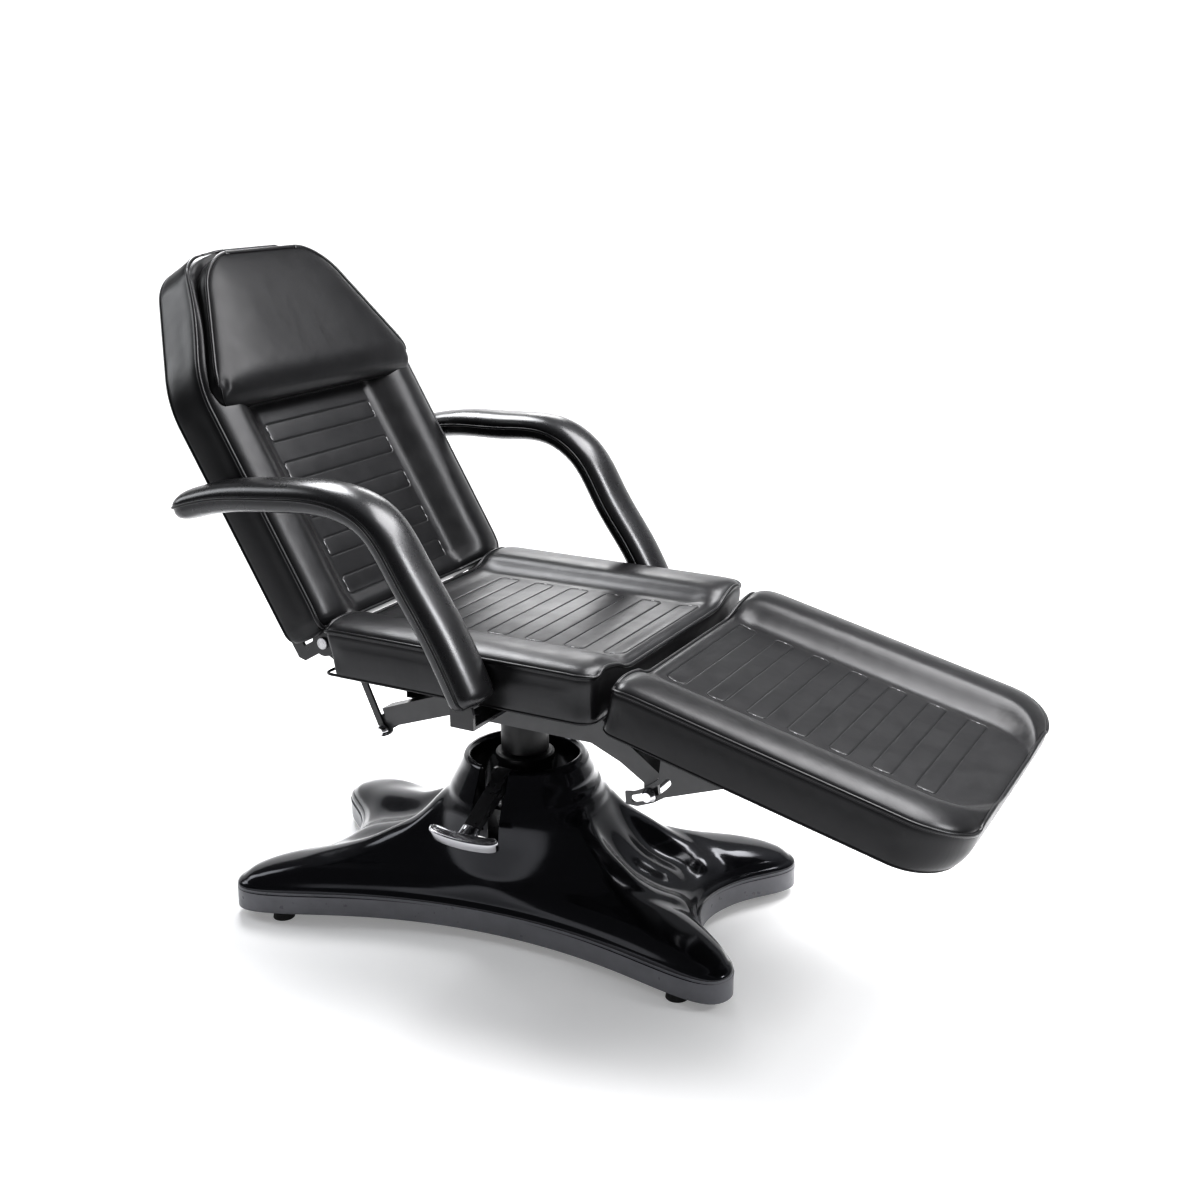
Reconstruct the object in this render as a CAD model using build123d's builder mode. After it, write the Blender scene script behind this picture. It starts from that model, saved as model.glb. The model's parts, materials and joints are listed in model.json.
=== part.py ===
from build123d import *
import math
import os

os.makedirs("parts", exist_ok=True)

# ---------------------------------------------------------------- dimensions (mm)
# Long axis along X (+X is the foot end), +Y is the occupant's left, +Z up, floor at Z = 0.
SHIFT_X = -134.0            # base centre to the middle of the overall length
BASE_CX = SHIFT_X           # centre of the four-legged base
COL_X = SHIFT_X + 15.0      # column axis
BASE_TURN = 7.2             # how far the base is turned against the seat, degrees

# seat
SEAT_HALF_W = 300.0
SEAT_TOP = 602.0
SEAT_BOTTOM = 515.0
SEAT_BOARD_T = 12.0
SEAT_X0, SEAT_X1 = -192.0 + SHIFT_X, 314.0 + SHIFT_X

# backrest: piping line of the seat's rear edge, leaning 59.3 degrees from level
BACK_TILT = 59.27
BACK_HALF_W = 285.0
BACK_LEN = 690.0
BACK_BEND = 452.0           # where the head section starts to taper
BACK_TOP_HALF_W = 150.0
BACK_FRONT_N, BACK_REAR_N = -12.0, -91.4
BACK_BOARD_T = 12.0
BACK_ORG = (-206.0 + SHIFT_X, 602.0)

# leg rest
LEG_TILT = -13.76
LEG_HALF_W = 300.0
LEG_LEN = 571.0
LEG_T = 85.0
LEG_BOARD_T = 12.0
LEG_ORG = (351.0 + SHIFT_X, 594.0)

# hinges, in X and Z
H_X, H_Z = -234.5 + SHIFT_X, 552.0      # back hinge
K_X, K_Z = 331.0 + SHIFT_X, 497.0       # leg-rest hinge
F_X, F_Z = 392.0 + SHIFT_X, 398.0       # leg-rest clamp bolt
A_X, A_Z = -122.0 + SHIFT_X, 409.0      # rear tie rod
PIN_R, PIN_RUN = 6.0, 0.05
ARC_R = math.hypot(F_X - K_X, F_Z - K_Z)
LEG_UP, LEG_DOWN = 13.76, 20.0

# frame
RAIL_Y0, RAIL_Y1 = 210.0, 240.0
RAIL_Z0, RAIL_Z1 = 463.0, 515.0
WALL = 2.5

# hydraulic column
CYL_R, CYL_BORE = 50.0, 40.0
ROD_R = 28.0
GLAND_Z0, GLAND_Z1 = 298.0, 312.0
SPIGOT_R = 25.0
SHOULDER_Z = 330.0
LIFT = 180.0

# pedal
PEDAL_Y, PEDAL_Z = -70.0, 288.0
PAD_Y, PAD_Z = -210.0, 215.0
PLUNGER_Y = -86.0
PLUNGER_TOP = 262.2
BLOCK_TOP = 232.0

# ---------------------------------------------------------------- helpers
ct, st = math.cos(math.radians(BACK_TILT)), math.sin(math.radians(BACK_TILT))
cl, sl = math.cos(math.radians(LEG_TILT)), math.sin(math.radians(LEG_TILT))


def back_pt(s, n):
    """X, Z of a point s up the backrest and n in front of its piping plane."""
    return (BACK_ORG[0] - ct * s + st * n, BACK_ORG[1] + st * s + ct * n)


def leg_pt(s, n):
    """X, Z of a point s along the leg rest and n above its piping plane."""
    return (LEG_ORG[0] + cl * s - sl * n, LEG_ORG[1] + sl * s + cl * n)


def polar(cx, cz, r, deg):
    return (cx + r * math.cos(math.radians(deg)), cz + r * math.sin(math.radians(deg)))


BACK = Plane(origin=(BACK_ORG[0], 0, BACK_ORG[1]), x_dir=(-ct, 0, st), z_dir=(st, 0, ct))
LEG = Plane(origin=(LEG_ORG[0], 0, LEG_ORG[1]), x_dir=(cl, 0, sl), z_dir=(-sl, 0, cl))
BASE = Plane(
    origin=(BASE_CX, 0, 0),
    x_dir=(math.cos(math.radians(BASE_TURN)), math.sin(math.radians(BASE_TURN)), 0),
    z_dir=(0, 0, 1),
)


def inset(points, gaps):
    """The polygon with edge i moved inwards by gaps[i]; a negative gap moves it outwards."""
    n = len(points)
    area = sum(points[i][0] * points[(i + 1) % n][1] - points[(i + 1) % n][0] * points[i][1] for i in range(n))
    turn = 1.0 if area > 0 else -1.0
    lines = []
    for i in range(n):
        (x0, y0), (x1, y1) = points[i], points[(i + 1) % n]
        d = math.hypot(x1 - x0, y1 - y0)
        nx, ny = -(y1 - y0) / d * turn, (x1 - x0) / d * turn
        lines.append((nx, ny, nx * x0 + ny * y0 + gaps[i]))
    out = []
    for i in range(n):
        a1, b1, c1 = lines[i - 1]
        a2, b2, c2 = lines[i]
        det = a1 * b2 - a2 * b1
        out.append(((c1 * b2 - c2 * b1) / det, (a1 * c2 - a2 * c1) / det))
    return out


def save(part, name):
    part.label = name
    export_step(part, "parts/" + name + ".step")


# ---------------------------------------------------------------- base cover
TIP_X, TIP_Y, TIP_R = 428.0, 207.0, 55.0
FOOT_X, FOOT_Y = 385.0, 218.0


def outline_r(deg):
    """Distance from the base centre to the skirt, in the direction deg."""
    a = math.radians(deg % 360.0)
    c, s = abs(math.cos(a)), abs(math.sin(a))
    b = TIP_X * c + TIP_Y * s
    disc = b * b - (TIP_X**2 + TIP_Y**2 - TIP_R**2)
    if disc >= 0:
        return b + math.sqrt(disc)
    q = 0.00052 * c * c
    d1 = s * s - 4 * q * 170.0
    side = (s - math.sqrt(d1)) / (2 * q) if q > 1e-9 and d1 > 0 else (170.0 / s if s > 0.3 else 9e9)
    p = 0.0033 * s * s
    d2 = c * c - 4 * p * 364.0
    end = (c - math.sqrt(d2)) / (2 * p) if p > 1e-9 and d2 > 0 else (364.0 / c if c > 0.3 else 9e9)
    return min(side, end)


# height, neck radius, share of the leg's reach that is left at this height
COVER_LEVELS = [
    (18.0, 150.0, 1.0),
    (60.0, 150.0, 0.99),
    (76.0, 150.0, 0.965),
    (88.0, 150.0, 0.90),
    (98.0, 150.0, 0.78),
    (110.0, 150.0, 0.62),
    (132.0, 150.0, 0.395),
    (160.0, 149.0, 0.237),
    (187.0, 148.0, 0.13),
    (215.0, 146.0, 0.06),
    (245.0, 140.0, 0.0),
    (262.0, 132.0, 0.0),
    (288.0, 119.0, 0.0),
    (306.0, 108.0, 0.0),
]


def cover_points(rn, g, inset, count=72):
    pts = []
    for i in range(count):
        deg = 360.0 * i / count
        r = rn + (outline_r(deg) - 150.0) * g - inset
        shift = 15.0 * (1.0 - g)
        pts.append(
            (
                r * math.cos(math.radians(deg)) + shift * math.cos(math.radians(BASE_TURN)),
                r * math.sin(math.radians(deg)) - shift * math.sin(math.radians(BASE_TURN)),
            )
        )
    return pts


with BuildPart() as base_cover_outer:
    for z, rn, g in COVER_LEVELS:
        with BuildSketch(BASE.offset(z)):
            with BuildLine():
                Spline(*cover_points(rn, g, 0.0), periodic=True)
            make_face()
    loft(ruled=True)

with BuildPart() as base_cover_inner:
    for z, rn, g in COVER_LEVELS:
        with BuildSketch(BASE.offset(z - 4.0)):
            with BuildLine():
                Spline(*cover_points(rn, g, 4.0), periodic=True)
            make_face()
    loft(ruled=True)

with BuildPart() as base_cover:
    add(base_cover_outer.part)
    add(base_cover_inner.part, mode=Mode.SUBTRACT)
    # neck opening
    with BuildSketch(Plane((COL_X, 0, 290.0))):
        Circle(92.0)
    extrude(amount=30.0, mode=Mode.SUBTRACT)
    # slot for the pedal lever
    with BuildSketch(Plane.XY.offset(172.0)):
        with Locations((COL_X, -130.0)):
            Rectangle(56.0, 120.0)
    extrude(amount=150.0, mode=Mode.SUBTRACT)

# ---------------------------------------------------------------- steel base
with BuildPart() as base_frame:
    leg_len = math.hypot(FOOT_X, FOOT_Y)
    ang = math.degrees(math.atan2(FOOT_Y, FOOT_X))
    with BuildSketch(BASE.offset(22.0)):
        for a in (ang, 180 - ang, 180 + ang, -ang):
            with Locations(Location((leg_len / 2 * math.cos(math.radians(a)), leg_len / 2 * math.sin(math.radians(a)), 0), (0, 0, a))):
                SlotOverall(leg_len + 36.0, 36.0)
        Circle(92.0)
    extrude(amount=24.0)
    # seat for the pump flange
    with BuildSketch(Plane((COL_X, 0, 22.0))):
        Circle(92.0)
    extrude(amount=28.0)
    # stud holes at the leg ends
    with BuildSketch(BASE.offset(22.0)):
        with Locations((FOOT_X, FOOT_Y), (-FOOT_X, FOOT_Y), (-FOOT_X, -FOOT_Y), (FOOT_X, -FOOT_Y)):
            Circle(5.0)
    extrude(amount=24.0, mode=Mode.SUBTRACT)
    # flange bolt holes
    with BuildSketch(Plane((COL_X, 0, 22.0))):
        with PolarLocations(78.0, 4, start_angle=45):
            Circle(4.0)
    extrude(amount=28.0, mode=Mode.SUBTRACT)

with BuildPart() as foot_pads:
    with BuildSketch(BASE):
        with Locations((FOOT_X, FOOT_Y), (-FOOT_X, FOOT_Y), (-FOOT_X, -FOOT_Y), (FOOT_X, -FOOT_Y)):
            Circle(20.0)
    extrude(amount=12.0, taper=8)

with BuildPart() as foot_studs:
    with BuildSketch(BASE.offset(12.0)):
        with Locations((FOOT_X, FOOT_Y), (-FOOT_X, FOOT_Y), (-FOOT_X, -FOOT_Y), (FOOT_X, -FOOT_Y)):
            RegularPolygon(10.0, 6)
    extrude(amount=10.0)
    with BuildSketch(BASE.offset(22.0)):
        with Locations((FOOT_X, FOOT_Y), (-FOOT_X, FOOT_Y), (-FOOT_X, -FOOT_Y), (FOOT_X, -FOOT_Y)):
            Circle(5.0)
    extrude(amount=28.0)

# ---------------------------------------------------------------- hydraulic pump
with BuildPart() as pump_cylinder:
    with BuildSketch(Plane((COL_X, 0, 50.0))):
        Circle(90.0)
        with PolarLocations(78.0, 4, start_angle=45):
            Circle(4.0, mode=Mode.SUBTRACT)
    extrude(amount=8.0)
    with BuildSketch(Plane((COL_X, 0, 58.0))):
        Circle(CYL_R)
        Circle(CYL_BORE, mode=Mode.SUBTRACT)
    extrude(amount=GLAND_Z0 - 58.0)

with BuildPart() as pump_gland:
    with BuildSketch(Plane((COL_X, 0, GLAND_Z0))):
        Circle(54.0)
        Circle(ROD_R + PIN_RUN, mode=Mode.SUBTRACT)
    extrude(amount=GLAND_Z1 - GLAND_Z0)
    chamfer(pump_gland.edges().filter_by(GeomType.CIRCLE).group_by(Axis.Z)[-1].sort_by(SortBy.RADIUS)[-1], 3.0)

with BuildPart() as pump_bolts:
    with BuildSketch(Plane((COL_X, 0, 58.0))):
        with PolarLocations(78.0, 4, start_angle=45):
            RegularPolygon(7.5, 6)
    extrude(amount=6.0)
    with BuildSketch(Plane((COL_X, 0, 26.0))):
        with PolarLocations(78.0, 4, start_angle=45):
            Circle(4.0)
    extrude(amount=32.0)

with BuildPart() as pump_block:
    # oil and check-valve block on the side of the cylinder
    with BuildSketch(Plane((COL_X, 0, 58.0))):
        with Locations((0, -76.0)):
            RectangleRounded(44.0, 56.0, 5.0)
        Circle(CYL_R, mode=Mode.SUBTRACT)
    extrude(amount=BLOCK_TOP - 58.0)
    # two ears that carry the pedal pivot
    with BuildSketch(Plane.YZ.offset(COL_X + 16.0)):
        with BuildLine():
            Polyline((-88, BLOCK_TOP - 1), (-56, BLOCK_TOP - 1), (-56, 288), (-59, 294), (-65, 298), (-76, 298), (-84, 290), close=True)
        make_face()
        with Locations((PEDAL_Y, PEDAL_Z)):
            Circle(5.0, mode=Mode.SUBTRACT)
    extrude(amount=6.0)
    with BuildSketch(Plane.YZ.offset(COL_X - 22.0)):
        with BuildLine():
            Polyline((-88, BLOCK_TOP - 1), (-56, BLOCK_TOP - 1), (-56, 288), (-59, 294), (-65, 298), (-76, 298), (-84, 290), close=True)
        make_face()
        with Locations((PEDAL_Y, PEDAL_Z)):
            Circle(5.0, mode=Mode.SUBTRACT)
    extrude(amount=6.0)
    # plunger bore
    with BuildSketch(Plane((COL_X, PLUNGER_Y, 150.0))):
        Circle(8.0 + PIN_RUN)
    extrude(amount=100.0, mode=Mode.SUBTRACT)

with BuildPart() as pump_plunger:
    with BuildSketch(Plane((COL_X, PLUNGER_Y, 175.0))):
        Circle(8.0)
    extrude(amount=PLUNGER_TOP - 3.0 - 175.0)
    with BuildSketch(Plane((COL_X, PLUNGER_Y, PLUNGER_TOP - 3.0))):
        Circle(9.5)
    extrude(amount=3.0)

with BuildPart() as pump_spring:
    with BuildLine():
        Helix(pitch=4.6, height=24.0, radius=9.4, center=(COL_X, PLUNGER_Y, BLOCK_TOP + 1.1))
    with BuildSketch(Plane(origin=(COL_X + 9.4, PLUNGER_Y, BLOCK_TOP + 1.1), z_dir=(0, 1, 0))):
        Circle(0.9)
    sweep(is_frenet=True)

with BuildPart() as pedal_pin:
    with BuildSketch(Plane.YZ.offset(COL_X - 25.0)):
        with Locations((PEDAL_Y, PEDAL_Z)):
            Circle(5.0)
    extrude(amount=50.0)

# ---------------------------------------------------------------- pedal
lev = math.atan2(PAD_Z - PEDAL_Z, PAD_Y - PEDAL_Y)
u_y, u_z = math.cos(lev), math.sin(lev)          # along the lever, outwards
v_y, v_z = u_z, -u_y                             # across it, upwards
lever_len = math.hypot(PAD_Z - PEDAL_Z, PAD_Y - PEDAL_Y)


def lev_pt(a, b):
    return (PEDAL_Y + u_y * a + v_y * b, PEDAL_Z + u_z * a + v_z * b)


with BuildPart() as pedal_lever:
    with BuildSketch(Plane.YZ.offset(COL_X - 14.0)):
        with Locations((PEDAL_Y, PEDAL_Z)):
            Circle(11.0)
        with BuildLine():
            Polyline(lev_pt(0, 10.9), lev_pt(60, 10.0), lev_pt(lever_len - 4, 6.0), lev_pt(lever_len - 4, -6.0), lev_pt(60, -10.0), lev_pt(0, -10.9), close=True)
        make_face()
        with Locations((PEDAL_Y, PEDAL_Z)):
            Circle(5.0 + PIN_RUN, mode=Mode.SUBTRACT)
    extrude(amount=28.0)

PAD = Plane(origin=(COL_X, PAD_Y, PAD_Z), x_dir=(1, 0, 0), z_dir=(0, math.sin(math.radians(-12)), math.cos(math.radians(-12))))
with BuildPart() as pedal_pad:
    with BuildSketch(PAD.offset(6.2)):
        RectangleRounded(140.0, 38.0, 12.0)
    extrude(amount=9.0)
    fillet(pedal_pad.edges().group_by(SortBy.LENGTH)[-1], 1.0)
    # socket block that takes the end of the lever
    with BuildSketch(Plane.YZ.offset(COL_X - 17.0)):
        with BuildLine():
            Polyline(lev_pt(lever_len - 22, 12), (PAD_Y + 12, PAD_Z + 9.0), (PAD_Y - 14, PAD_Z + 9.0 - 5.0), lev_pt(lever_len + 8, -9), lev_pt(lever_len - 22, -11), close=True)
        make_face()
    extrude(amount=34.0)
    add(pedal_lever.part, mode=Mode.SUBTRACT)

# ---------------------------------------------------------------- ram
with BuildPart() as ram_piston:
    with BuildSketch(Plane((COL_X, 0, 62.0))):
        Circle(CYL_BORE - PIN_RUN)
    extrude(amount=30.0)

with BuildPart() as ram_rod:
    with BuildSketch(Plane((COL_X, 0, 92.0))):
        Circle(ROD_R)
    extrude(amount=SHOULDER_Z - 92.0)
    with BuildSketch(Plane((COL_X, 0, SHOULDER_Z))):
        Circle(SPIGOT_R)
    extrude(amount=100.0)
    chamfer(ram_rod.faces().sort_by(Axis.Z)[-1].edges(), 3.0)

# ---------------------------------------------------------------- swivel head
with BuildPart() as thrust_ring:
    with BuildSketch(Plane((COL_X, 0, SHOULDER_Z))):
        Circle(40.0)
        Circle(SPIGOT_R + 0.4, mode=Mode.SUBTRACT)
    extrude(amount=6.0)

with BuildPart() as swivel_hub:
    with BuildSketch(Plane((COL_X, 0, SHOULDER_Z + 6.0))):
        Circle(44.0)
    extrude(amount=RAIL_Z0 - 8.0 - SHOULDER_Z - 6.0)
    with BuildSketch(Plane((COL_X, 0, RAIL_Z0 - 8.0))):
        RectangleRounded(230.0, 150.0, 12.0)
    extrude(amount=8.0)
    # skirt round the thrust ring and the top of the rod
    with BuildSketch(Plane((COL_X, 0, GLAND_Z1 + 4.0))):
        Circle(44.0)
        Circle(40.6, mode=Mode.SUBTRACT)
    extrude(amount=SHOULDER_Z + 6.0 - GLAND_Z1 - 4.0)
    # four webs between hub and plate
    with BuildSketch(Plane.XZ.offset(-4.0)):
        with BuildLine():
            Polyline((COL_X - 100, RAIL_Z0 - 8), (COL_X - 100, RAIL_Z0 - 20), (COL_X - 43, 360), (COL_X + 43, 360), (COL_X + 100, RAIL_Z0 - 20), (COL_X + 100, RAIL_Z0 - 8), close=True)
        make_face()
    extrude(amount=8.0)
    # socket
    with BuildSketch(Plane((COL_X, 0, SHOULDER_Z + 6.0))):
        Circle(SPIGOT_R + PIN_RUN)
    extrude(amount=100.0, mode=Mode.SUBTRACT)
    with BuildSketch(Plane((COL_X, 0, RAIL_Z0 - 8.0))):
        with GridLocations(190.0, 110.0, 2, 2):
            Circle(4.0)
    extrude(amount=8.0, mode=Mode.SUBTRACT)

with BuildPart() as hub_bolts:
    with BuildSketch(Plane((COL_X, 0, RAIL_Z0 - 14.0))):
        with GridLocations(190.0, 110.0, 2, 2):
            RegularPolygon(7.5, 6)
    extrude(amount=6.0)
    with BuildSketch(Plane((COL_X, 0, RAIL_Z0 - 8.0))):
        with GridLocations(190.0, 110.0, 2, 2):
            Circle(4.0)
    extrude(amount=14.0)

# ---------------------------------------------------------------- seat frame
REAR_BEND = 10.0 + SHIFT_X
FRONT_BEND = 292.0 + SHIFT_X
RAIL_PROFILE = [
    (REAR_BEND, RAIL_Z1),
    (FRONT_BEND + 6, RAIL_Z1),
    (FRONT_BEND + 14, RAIL_Z1 - 10),
    (FRONT_BEND + 116, 433),
    (FRONT_BEND + 98, 407),
    (FRONT_BEND + 44, 441),
    (FRONT_BEND - 8, RAIL_Z0),
    (REAR_BEND + 12, RAIL_Z0),
    (-112 + SHIFT_X, 415),
    (-126 + SHIFT_X, 447),
    (REAR_BEND - 10, 494),
]
# the tube's wall, with both sloping ends open
RAIL_GAPS = [WALL, WALL, WALL, -1.0, WALL, WALL, WALL, WALL, -1.0, WALL, WALL]

with BuildPart() as seat_rail_right:
    with BuildSketch(Plane.XZ.offset(RAIL_Y0)):
        with BuildLine():
            Polyline(*RAIL_PROFILE, close=True)
        make_face()
    extrude(amount=RAIL_Y1 - RAIL_Y0)
    # lugs under both sloping ends
    with BuildSketch(Plane.XZ.offset(RAIL_Y1 - 8.0)):
        with BuildLine():
            Polyline((F_X - 13, F_Z), (F_X - 13, F_Z + 26), (F_X + 10, F_Z + 22), (F_X + 13, F_Z), close=True)
        make_face()
        with Locations((F_X, F_Z)):
            Circle(13.0)
        with BuildLine():
            Polyline((A_X - 12, A_Z), (A_X - 6, A_Z + 26), (A_X + 20, A_Z + 18), (A_X + 12, A_Z), close=True)
        make_face()
        with Locations((A_X, A_Z)):
            Circle(12.0)
    extrude(amount=8.0)
    # inside of the tube
    with BuildSketch(Plane.XZ.offset(RAIL_Y0 + WALL)):
        with BuildLine():
            Polyline(*inset(RAIL_PROFILE, RAIL_GAPS), close=True)
        make_face()
    extrude(amount=RAIL_Y1 - RAIL_Y0 - 2 * WALL, mode=Mode.SUBTRACT)
    # flat bar under the board that carries the back hinge
    with BuildSketch(Plane.XZ.offset(RAIL_Y0)):
        with BuildLine():
            Polyline((-188 + SHIFT_X, 503), (REAR_BEND - 5.5, 503), (REAR_BEND, RAIL_Z1), (-188 + SHIFT_X, RAIL_Z1), close=True)
        make_face()
    extrude(amount=RAIL_Y1 - RAIL_Y0)
    # bolt holes
    with BuildSketch(Plane.XZ.offset(RAIL_Y0)):
        with Locations((F_X, F_Z), (A_X, A_Z)):
            Circle(PIN_R)
    extrude(amount=RAIL_Y1 - RAIL_Y0, mode=Mode.SUBTRACT)

with BuildPart() as seat_rail_left:
    add(seat_rail_right.part)
    mirror(about=Plane.XZ, mode=Mode.REPLACE)


def end_plug(p0, p1, depth):
    """Profile of a plug in a tube end whose edge runs from p0 to p1, going back by depth."""
    dx, dz = p1[0] - p0[0], p1[1] - p0[1]
    d = math.hypot(dx, dz)
    ux, uz = dx / d, dz / d
    q0 = (p0[0] + ux * (WALL + 1.2), p0[1] + uz * (WALL + 1.2))
    q1 = (p1[0] - ux * (WALL + 1.2), p1[1] - uz * (WALL + 1.2))
    return [q0, q1, (q1[0] + uz * depth, q1[1] - ux * depth), (q0[0] + uz * depth, q0[1] - ux * depth)]


with BuildPart() as rail_plugs:
    for edge in (3, 8):
        with BuildSketch(Plane.XZ.offset(RAIL_Y0 + WALL)):
            with BuildLine():
                Polyline(*end_plug(RAIL_PROFILE[edge], RAIL_PROFILE[edge + 1], 12.0), close=True)
            make_face()
        extrude(amount=RAIL_Y1 - RAIL_Y0 - 2 * WALL)
    mirror(about=Plane.XZ)

with BuildPart() as seat_cross_tubes:
    # two tubes that lie on the swivel plate
    with BuildSketch(Plane.XZ.offset(-RAIL_Y0)):
        with Locations((COL_X - 90, RAIL_Z0 + 17), (COL_X + 90, RAIL_Z0 + 17)):
            Rectangle(40.0, 34.0)
            Rectangle(40.0 - 2 * WALL, 34.0 - 2 * WALL, mode=Mode.SUBTRACT)
    extrude(amount=2 * RAIL_Y0)
    with BuildSketch(Plane((COL_X, 0, RAIL_Z0))):
        with GridLocations(190.0, 110.0, 2, 2):
            Circle(4.0)
    extrude(amount=6.0, mode=Mode.SUBTRACT)

with BuildPart() as front_cross_tube:
    with BuildSketch(Plane.XZ.offset(-RAIL_Y0)):
        with Locations((FRONT_BEND - 50, RAIL_Z0 + 17)):
            Rectangle(40.0, 34.0)
            Rectangle(40.0 - 2 * WALL, 34.0 - 2 * WALL, mode=Mode.SUBTRACT)
    extrude(amount=2 * RAIL_Y0)
    # hinge lugs for the leg rest
    with BuildSketch(Plane.XZ.offset(150.0)):
        with BuildLine():
            Polyline((FRONT_BEND - 30.5, RAIL_Z0 + 4), (FRONT_BEND - 30.5, RAIL_Z0 + 34), (K_X - 4, K_Z + 11), (K_X + 8, K_Z - 8), (K_X - 8, K_Z - 13), close=True)
        make_face()
        with Locations((K_X, K_Z)):
            Circle(12.0)
            Circle(PIN_R, mode=Mode.SUBTRACT)
    extrude(amount=7.0)
    mirror(about=Plane.XZ)

with BuildPart() as rear_cross_bar:
    with BuildSketch(Plane((SHIFT_X - 120.0, 0, 503.0))):
        Rectangle(36.0, 2 * RAIL_Y0)
    extrude(amount=12.0)

with BuildPart() as rear_tie_rod:
    with BuildSketch(Plane.XZ.offset(-252.0)):
        with Locations((A_X, A_Z)):
            Circle(PIN_R)
    extrude(amount=504.0)
    with BuildSketch(Plane.XZ.offset(246.0)):
        with Locations((A_X, A_Z)):
            Circle(11.0)
    extrude(amount=10.0, taper=22)
    mirror(about=Plane.XZ)

with BuildPart() as front_tie_rod:
    with BuildSketch(Plane.XZ.offset(-252.0)):
        with Locations((F_X, F_Z)):
            Circle(PIN_R)
    extrude(amount=504.0)
    with BuildSketch(Plane.XZ.offset(248.5)):
        with Locations((F_X, F_Z)):
            Circle(12.0)
    extrude(amount=10.0, taper=22)
    mirror(about=Plane.XZ)

with BuildPart() as rear_braces:
    # thin bar from the rear rod up to the hinge bar
    with BuildSketch(Plane.XZ.offset(RAIL_Y1)):
        with BuildLine():
            Polyline((A_X - 6.5, A_Z), (A_X + 6.5, A_Z), (-158 + SHIFT_X, 503), (-171 + SHIFT_X, 503), close=True)
        make_face()
        with Locations((A_X, A_Z)):
            Circle(10.0)
            Circle(PIN_R, mode=Mode.SUBTRACT)
    extrude(amount=5.0)
    mirror(about=Plane.XZ)

with BuildPart() as hinge_arms:
    # fixed halves of the ratchet hinges
    with BuildSketch(Plane.XZ.offset(RAIL_Y1)):
        with BuildLine():
            Polyline((-188 + SHIFT_X, 503.2), (-150 + SHIFT_X, 503.2), (-150 + SHIFT_X, 514.8), (-174 + SHIFT_X, 514.8), (H_X + 20, H_Z + 4), (H_X - 4, H_Z - 20), close=True)
        make_face()
        with Locations((H_X, H_Z)):
            Circle(24.0)
            Circle(PIN_R, mode=Mode.SUBTRACT)
    extrude(amount=6.0)
    mirror(about=Plane.XZ)

with BuildPart() as back_hinge_pins:
    with BuildSketch(Plane.XZ.offset(RAIL_Y1 - 4)):
        with Locations((H_X, H_Z)):
            Circle(PIN_R)
    extrude(amount=22.0)
    with BuildSketch(Plane.XZ.offset(RAIL_Y1 - 8)):
        with Locations((H_X, H_Z)):
            Circle(10.0)
    extrude(amount=6.0)
    with BuildSketch(Plane.XZ.offset(RAIL_Y1 + 14.5)):
        with Locations((H_X, H_Z)):
            Circle(10.0)
    extrude(amount=4.0)
    mirror(about=Plane.XZ)

with BuildPart() as leg_hinge_pins:
    with BuildSketch(Plane.XZ.offset(146.0)):
        with Locations((K_X, K_Z)):
            Circle(PIN_R)
    extrude(amount=26.0)
    with BuildSketch(Plane.XZ.offset(142.0)):
        with Locations((K_X, K_Z)):
            Circle(10.0)
    extrude(amount=8.0)
    with BuildSketch(Plane.XZ.offset(165.5)):
        with Locations((K_X, K_Z)):
            Circle(10.0)
    extrude(amount=6.0)
    mirror(about=Plane.XZ)

# ---------------------------------------------------------------- seat
with BuildPart() as seat_board:
    with BuildSketch(Plane.XZ.offset(-SEAT_HALF_W + 6)):
        with BuildLine():
            Polyline((-164 + SHIFT_X, SEAT_BOTTOM), (306 + SHIFT_X, SEAT_BOTTOM), (306 + SHIFT_X, SEAT_BOTTOM + SEAT_BOARD_T), (-169 + SHIFT_X, SEAT_BOTTOM + SEAT_BOARD_T), close=True)
        make_face()
    extrude(amount=2 * SEAT_HALF_W - 12)

with BuildPart() as seat_cushion:
    with BuildSketch(Plane.XZ.offset(-SEAT_HALF_W)):
        with BuildLine():
            Polyline((-170 + SHIFT_X, SEAT_BOTTOM + SEAT_BOARD_T), (310 + SHIFT_X, SEAT_BOTTOM + SEAT_BOARD_T), (SEAT_X1, SEAT_TOP - 8), (SEAT_X1 - 8, SEAT_TOP), (SEAT_X0 + 6, SEAT_TOP), (SEAT_X0, SEAT_TOP - 8), close=True)
        make_face()
    extrude(amount=2 * SEAT_HALF_W)
    fillet(seat_cushion.edges().filter_by(Axis.Z, tolerance=20).group_by(Axis.X)[-1], 24.0)

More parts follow.
